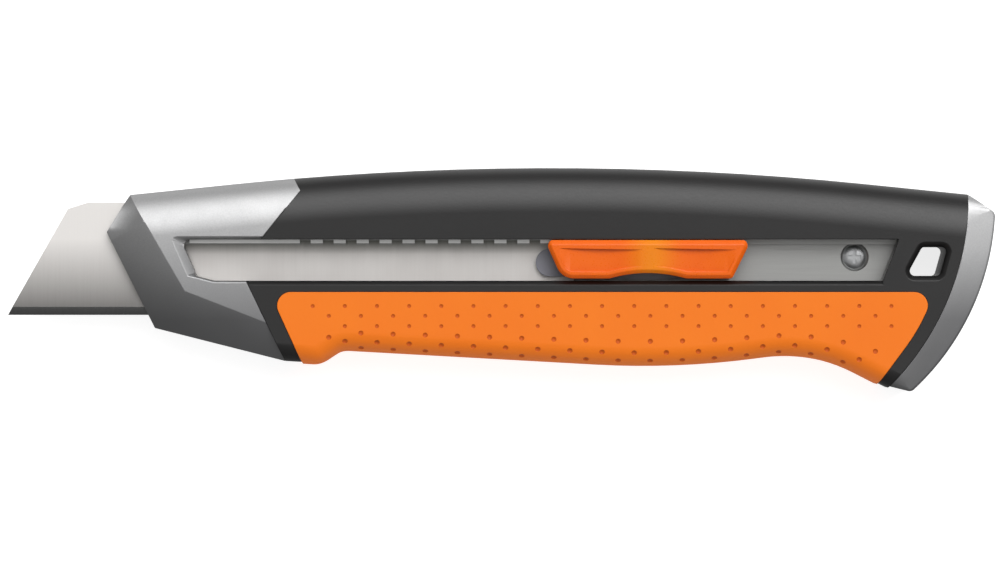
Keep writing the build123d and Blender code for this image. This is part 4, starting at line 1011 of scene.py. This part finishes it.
# %% Heads of the screws
PAN_HEAD = {"Head radius": 2.6 * MM, "Under radius": 2.6 * MM, "Rim height": 0.85 * MM, "Dome": 0.45 * MM,
            "Shank radius": 1.45 * MM, "Length": 12 * MM, "Recess length": 2.9 * MM,
            "Recess width": 0.75 * MM, "Recess depth": 0.8 * MM, "Turn": math.pi}
COUNTERSUNK = {**PAN_HEAD, "Head radius": 2.65 * MM, "Under radius": 1.45 * MM, "Rim height": 1.2 * MM,
               "Length": 3.35 * MM, "Turn": 0.0}
HEAD_SIDES, HEAD_RINGS = 32, 6
DOME_POWER = 4.0
DOWN = (0, 0, -1)

screw_tree, sizes = new_tree("screw", PAN_HEAD)
disc = add(screw_tree, "GeometryNodeMeshCone",
           {"Vertices": HEAD_SIDES, "Fill Segments": HEAD_RINGS, "Radius Top": sizes["Head radius"],
            "Radius Bottom": sizes["Under radius"], "Depth": sizes["Rim height"]},
           fill_type="TRIANGLE_FAN").outputs
spot = add(screw_tree, "GeometryNodeInputPosition")
level = add(screw_tree, "ShaderNodeVectorMath", {0: spot, 1: (1, 1, 0)}, operation="MULTIPLY")
outward = add(screw_tree, "ShaderNodeVectorMath", {0: level}, operation="LENGTH")
share = add(screw_tree, "ShaderNodeMath", {0: outward.outputs["Value"], 1: sizes["Head radius"]},
            operation="DIVIDE")
falling = add(screw_tree, "ShaderNodeMath", {0: share, 1: DOME_POWER}, operation="POWER")
rising = add(screw_tree, "ShaderNodeMath", {0: 1.0, 1: falling}, operation="SUBTRACT")
rise = add(screw_tree, "ShaderNodeMath", {0: rising, 1: sizes["Dome"]}, operation="MULTIPLY")
lift = add(screw_tree, "ShaderNodeCombineXYZ", {"Z": rise})
domed = add(screw_tree, "GeometryNodeSetPosition",
            {"Geometry": disc["Mesh"], "Selection": disc["Top"], "Offset": lift})
height = add(screw_tree, "ShaderNodeMath", {0: sizes["Rim height"], 1: sizes["Dome"]}, operation="ADD")
drop = add(screw_tree, "ShaderNodeVectorMath", {0: DOWN, "Scale": height}, operation="SCALE")
head = add(screw_tree, "GeometryNodeTransform", {"Geometry": domed, "Translation": drop})
print("nodes for the head:", len(screw_tree.nodes))

# %% [markdown]
# ## Recess and shank
# A punch strikes the cross into the head, and two crossed bars cut it here. The bars go as far above
# the head as into it, so that the cut leaves no skin. The thread is left out: it is hidden in its bore
# and would be most of the mesh.

# %% Recess and shank
SHANK_SIDES = 20

long, wide = sizes["Recess length"], sizes["Recess width"]
tall = add(screw_tree, "ShaderNodeMath", {0: sizes["Recess depth"], 1: 2.0}, operation="MULTIPLY")
recessed = add(screw_tree, "GeometryNodeMeshBoolean", {"Mesh 1": head}, operation="DIFFERENCE",
               solver="EXACT")
for x, y in ((long, wide), (wide, long)):
    bar = add(screw_tree, "ShaderNodeCombineXYZ", {"X": x, "Y": y, "Z": tall})
    cutter = add(screw_tree, "GeometryNodeMeshCube", {"Size": bar})
    screw_tree.links.new(cutter.outputs[0], recessed.inputs["Mesh 2"])
rod = add(screw_tree, "GeometryNodeMeshCylinder",
          {"Vertices": SHANK_SIDES, "Radius": sizes["Shank radius"], "Depth": sizes["Length"]})
middle = add(screw_tree, "ShaderNodeMath", {0: sizes["Length"], 1: 0.5, 2: height},
             operation="MULTIPLY_ADD")
under = add(screw_tree, "ShaderNodeVectorMath", {0: DOWN, "Scale": middle}, operation="SCALE")
shank = add(screw_tree, "GeometryNodeTransform", {"Geometry": rod, "Translation": under})
screw = add(screw_tree, "GeometryNodeJoinGeometry")
for part in (recessed, shank):
    screw_tree.links.new(part.outputs[0], screw.inputs[0])
print("nodes for head and shank:", len(screw_tree.nodes))

# %% [markdown]
# ## Screws in their places
# The tree puts a screw on each point of a small mesh, turned over where it is driven from the right
# side. Copies of one finished screw would do too. With points, all screws of a node are one mesh.

# %% Screws in their places
SCREWS = {
    # node: sizes, then the middle of each head's face in millimetres
    "shell_screws": (PAN_HEAD, ((-42.70, -11.41, 0.3), (26.24, -11.91, 0.3))),
    "tail_screws": (PAN_HEAD, ((95.84, 12.29, 0.3), (86.84, -13.71, 0.3))),
    "rail_screw": (COUNTERSUNK, ((78.94, 4.99, 9.0),)),
}

turned = add(screw_tree, "ShaderNodeCombineXYZ", {"X": sizes["Turn"]})
driven = add(screw_tree, "GeometryNodeInstanceOnPoints",
             {"Points": sizes["Geometry"], "Instance": screw, "Rotation": turned})
whole = add(screw_tree, "GeometryNodeRealizeInstances", {0: driven})
plated = add(screw_tree, "GeometryNodeSetMaterial", {"Geometry": whole, "Material": screw_steel})
add(screw_tree, "NodeGroupOutput", {0: plated})

for node, (kind, places) in SCREWS.items():
    points = bpy.data.meshes.new(node)
    points.from_pydata([Vector(spot) * MM for spot in places], [], [])
    fastener = bpy.data.objects.new(node + "_dressed", points)
    bpy.context.collection.objects.link(fastener)
    grow(fastener, screw_tree, kind)
    fasten(fastener, node, "handle")

# %% [markdown]
# ## Rail and slider
# The rail is punched strip, and its turned-up teeth get a painted highlight on top. The other small
# pieces sit deep in the handle, where a glimpse of the right steel or plastic is all that shows. They
# are dressed in a loop, the larger ones with softened edges.

# %% Rail and slider
PUNCHED_EDGE = 0.08
TOOTH_SKIN = 0.1 * MM

tooth_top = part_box("blade_rail")[1].z
for node, body, slot, finish, soften in (
    ("blade_rail", "handle", "rail_steel", rail_steel, 0.0),
    ("slide_plate", "slider", "rail_steel", rail_steel, PUNCHED_EDGE),
    ("slider_carrier", "slider", "carrier_plastic", carrier_plastic, MOULDED_EDGE),
    ("carrier_rivets", "slider", "screw_steel", screw_steel, 0.0),
    ("blade_pin", "slider", "screw_steel", screw_steel, 0.0),
    ("lock_spring", "slider", "spring_steel", spring_steel, 0.0),
    ("button_spring", "slider", "spring_steel", spring_steel, 0.0),
):
    piece = dressed(node, finish, soften_mm=soften)
    if node == "blade_rail":
        piece.data.materials.append(tooth_highlight_steel)
        for face in piece.data.polygons:
            # The tops of the teeth get the paler steel: a painted highlight.
            face.material_index = int(face.center.z > tooth_top - TOOTH_SKIN)
    fasten(piece, node, body)
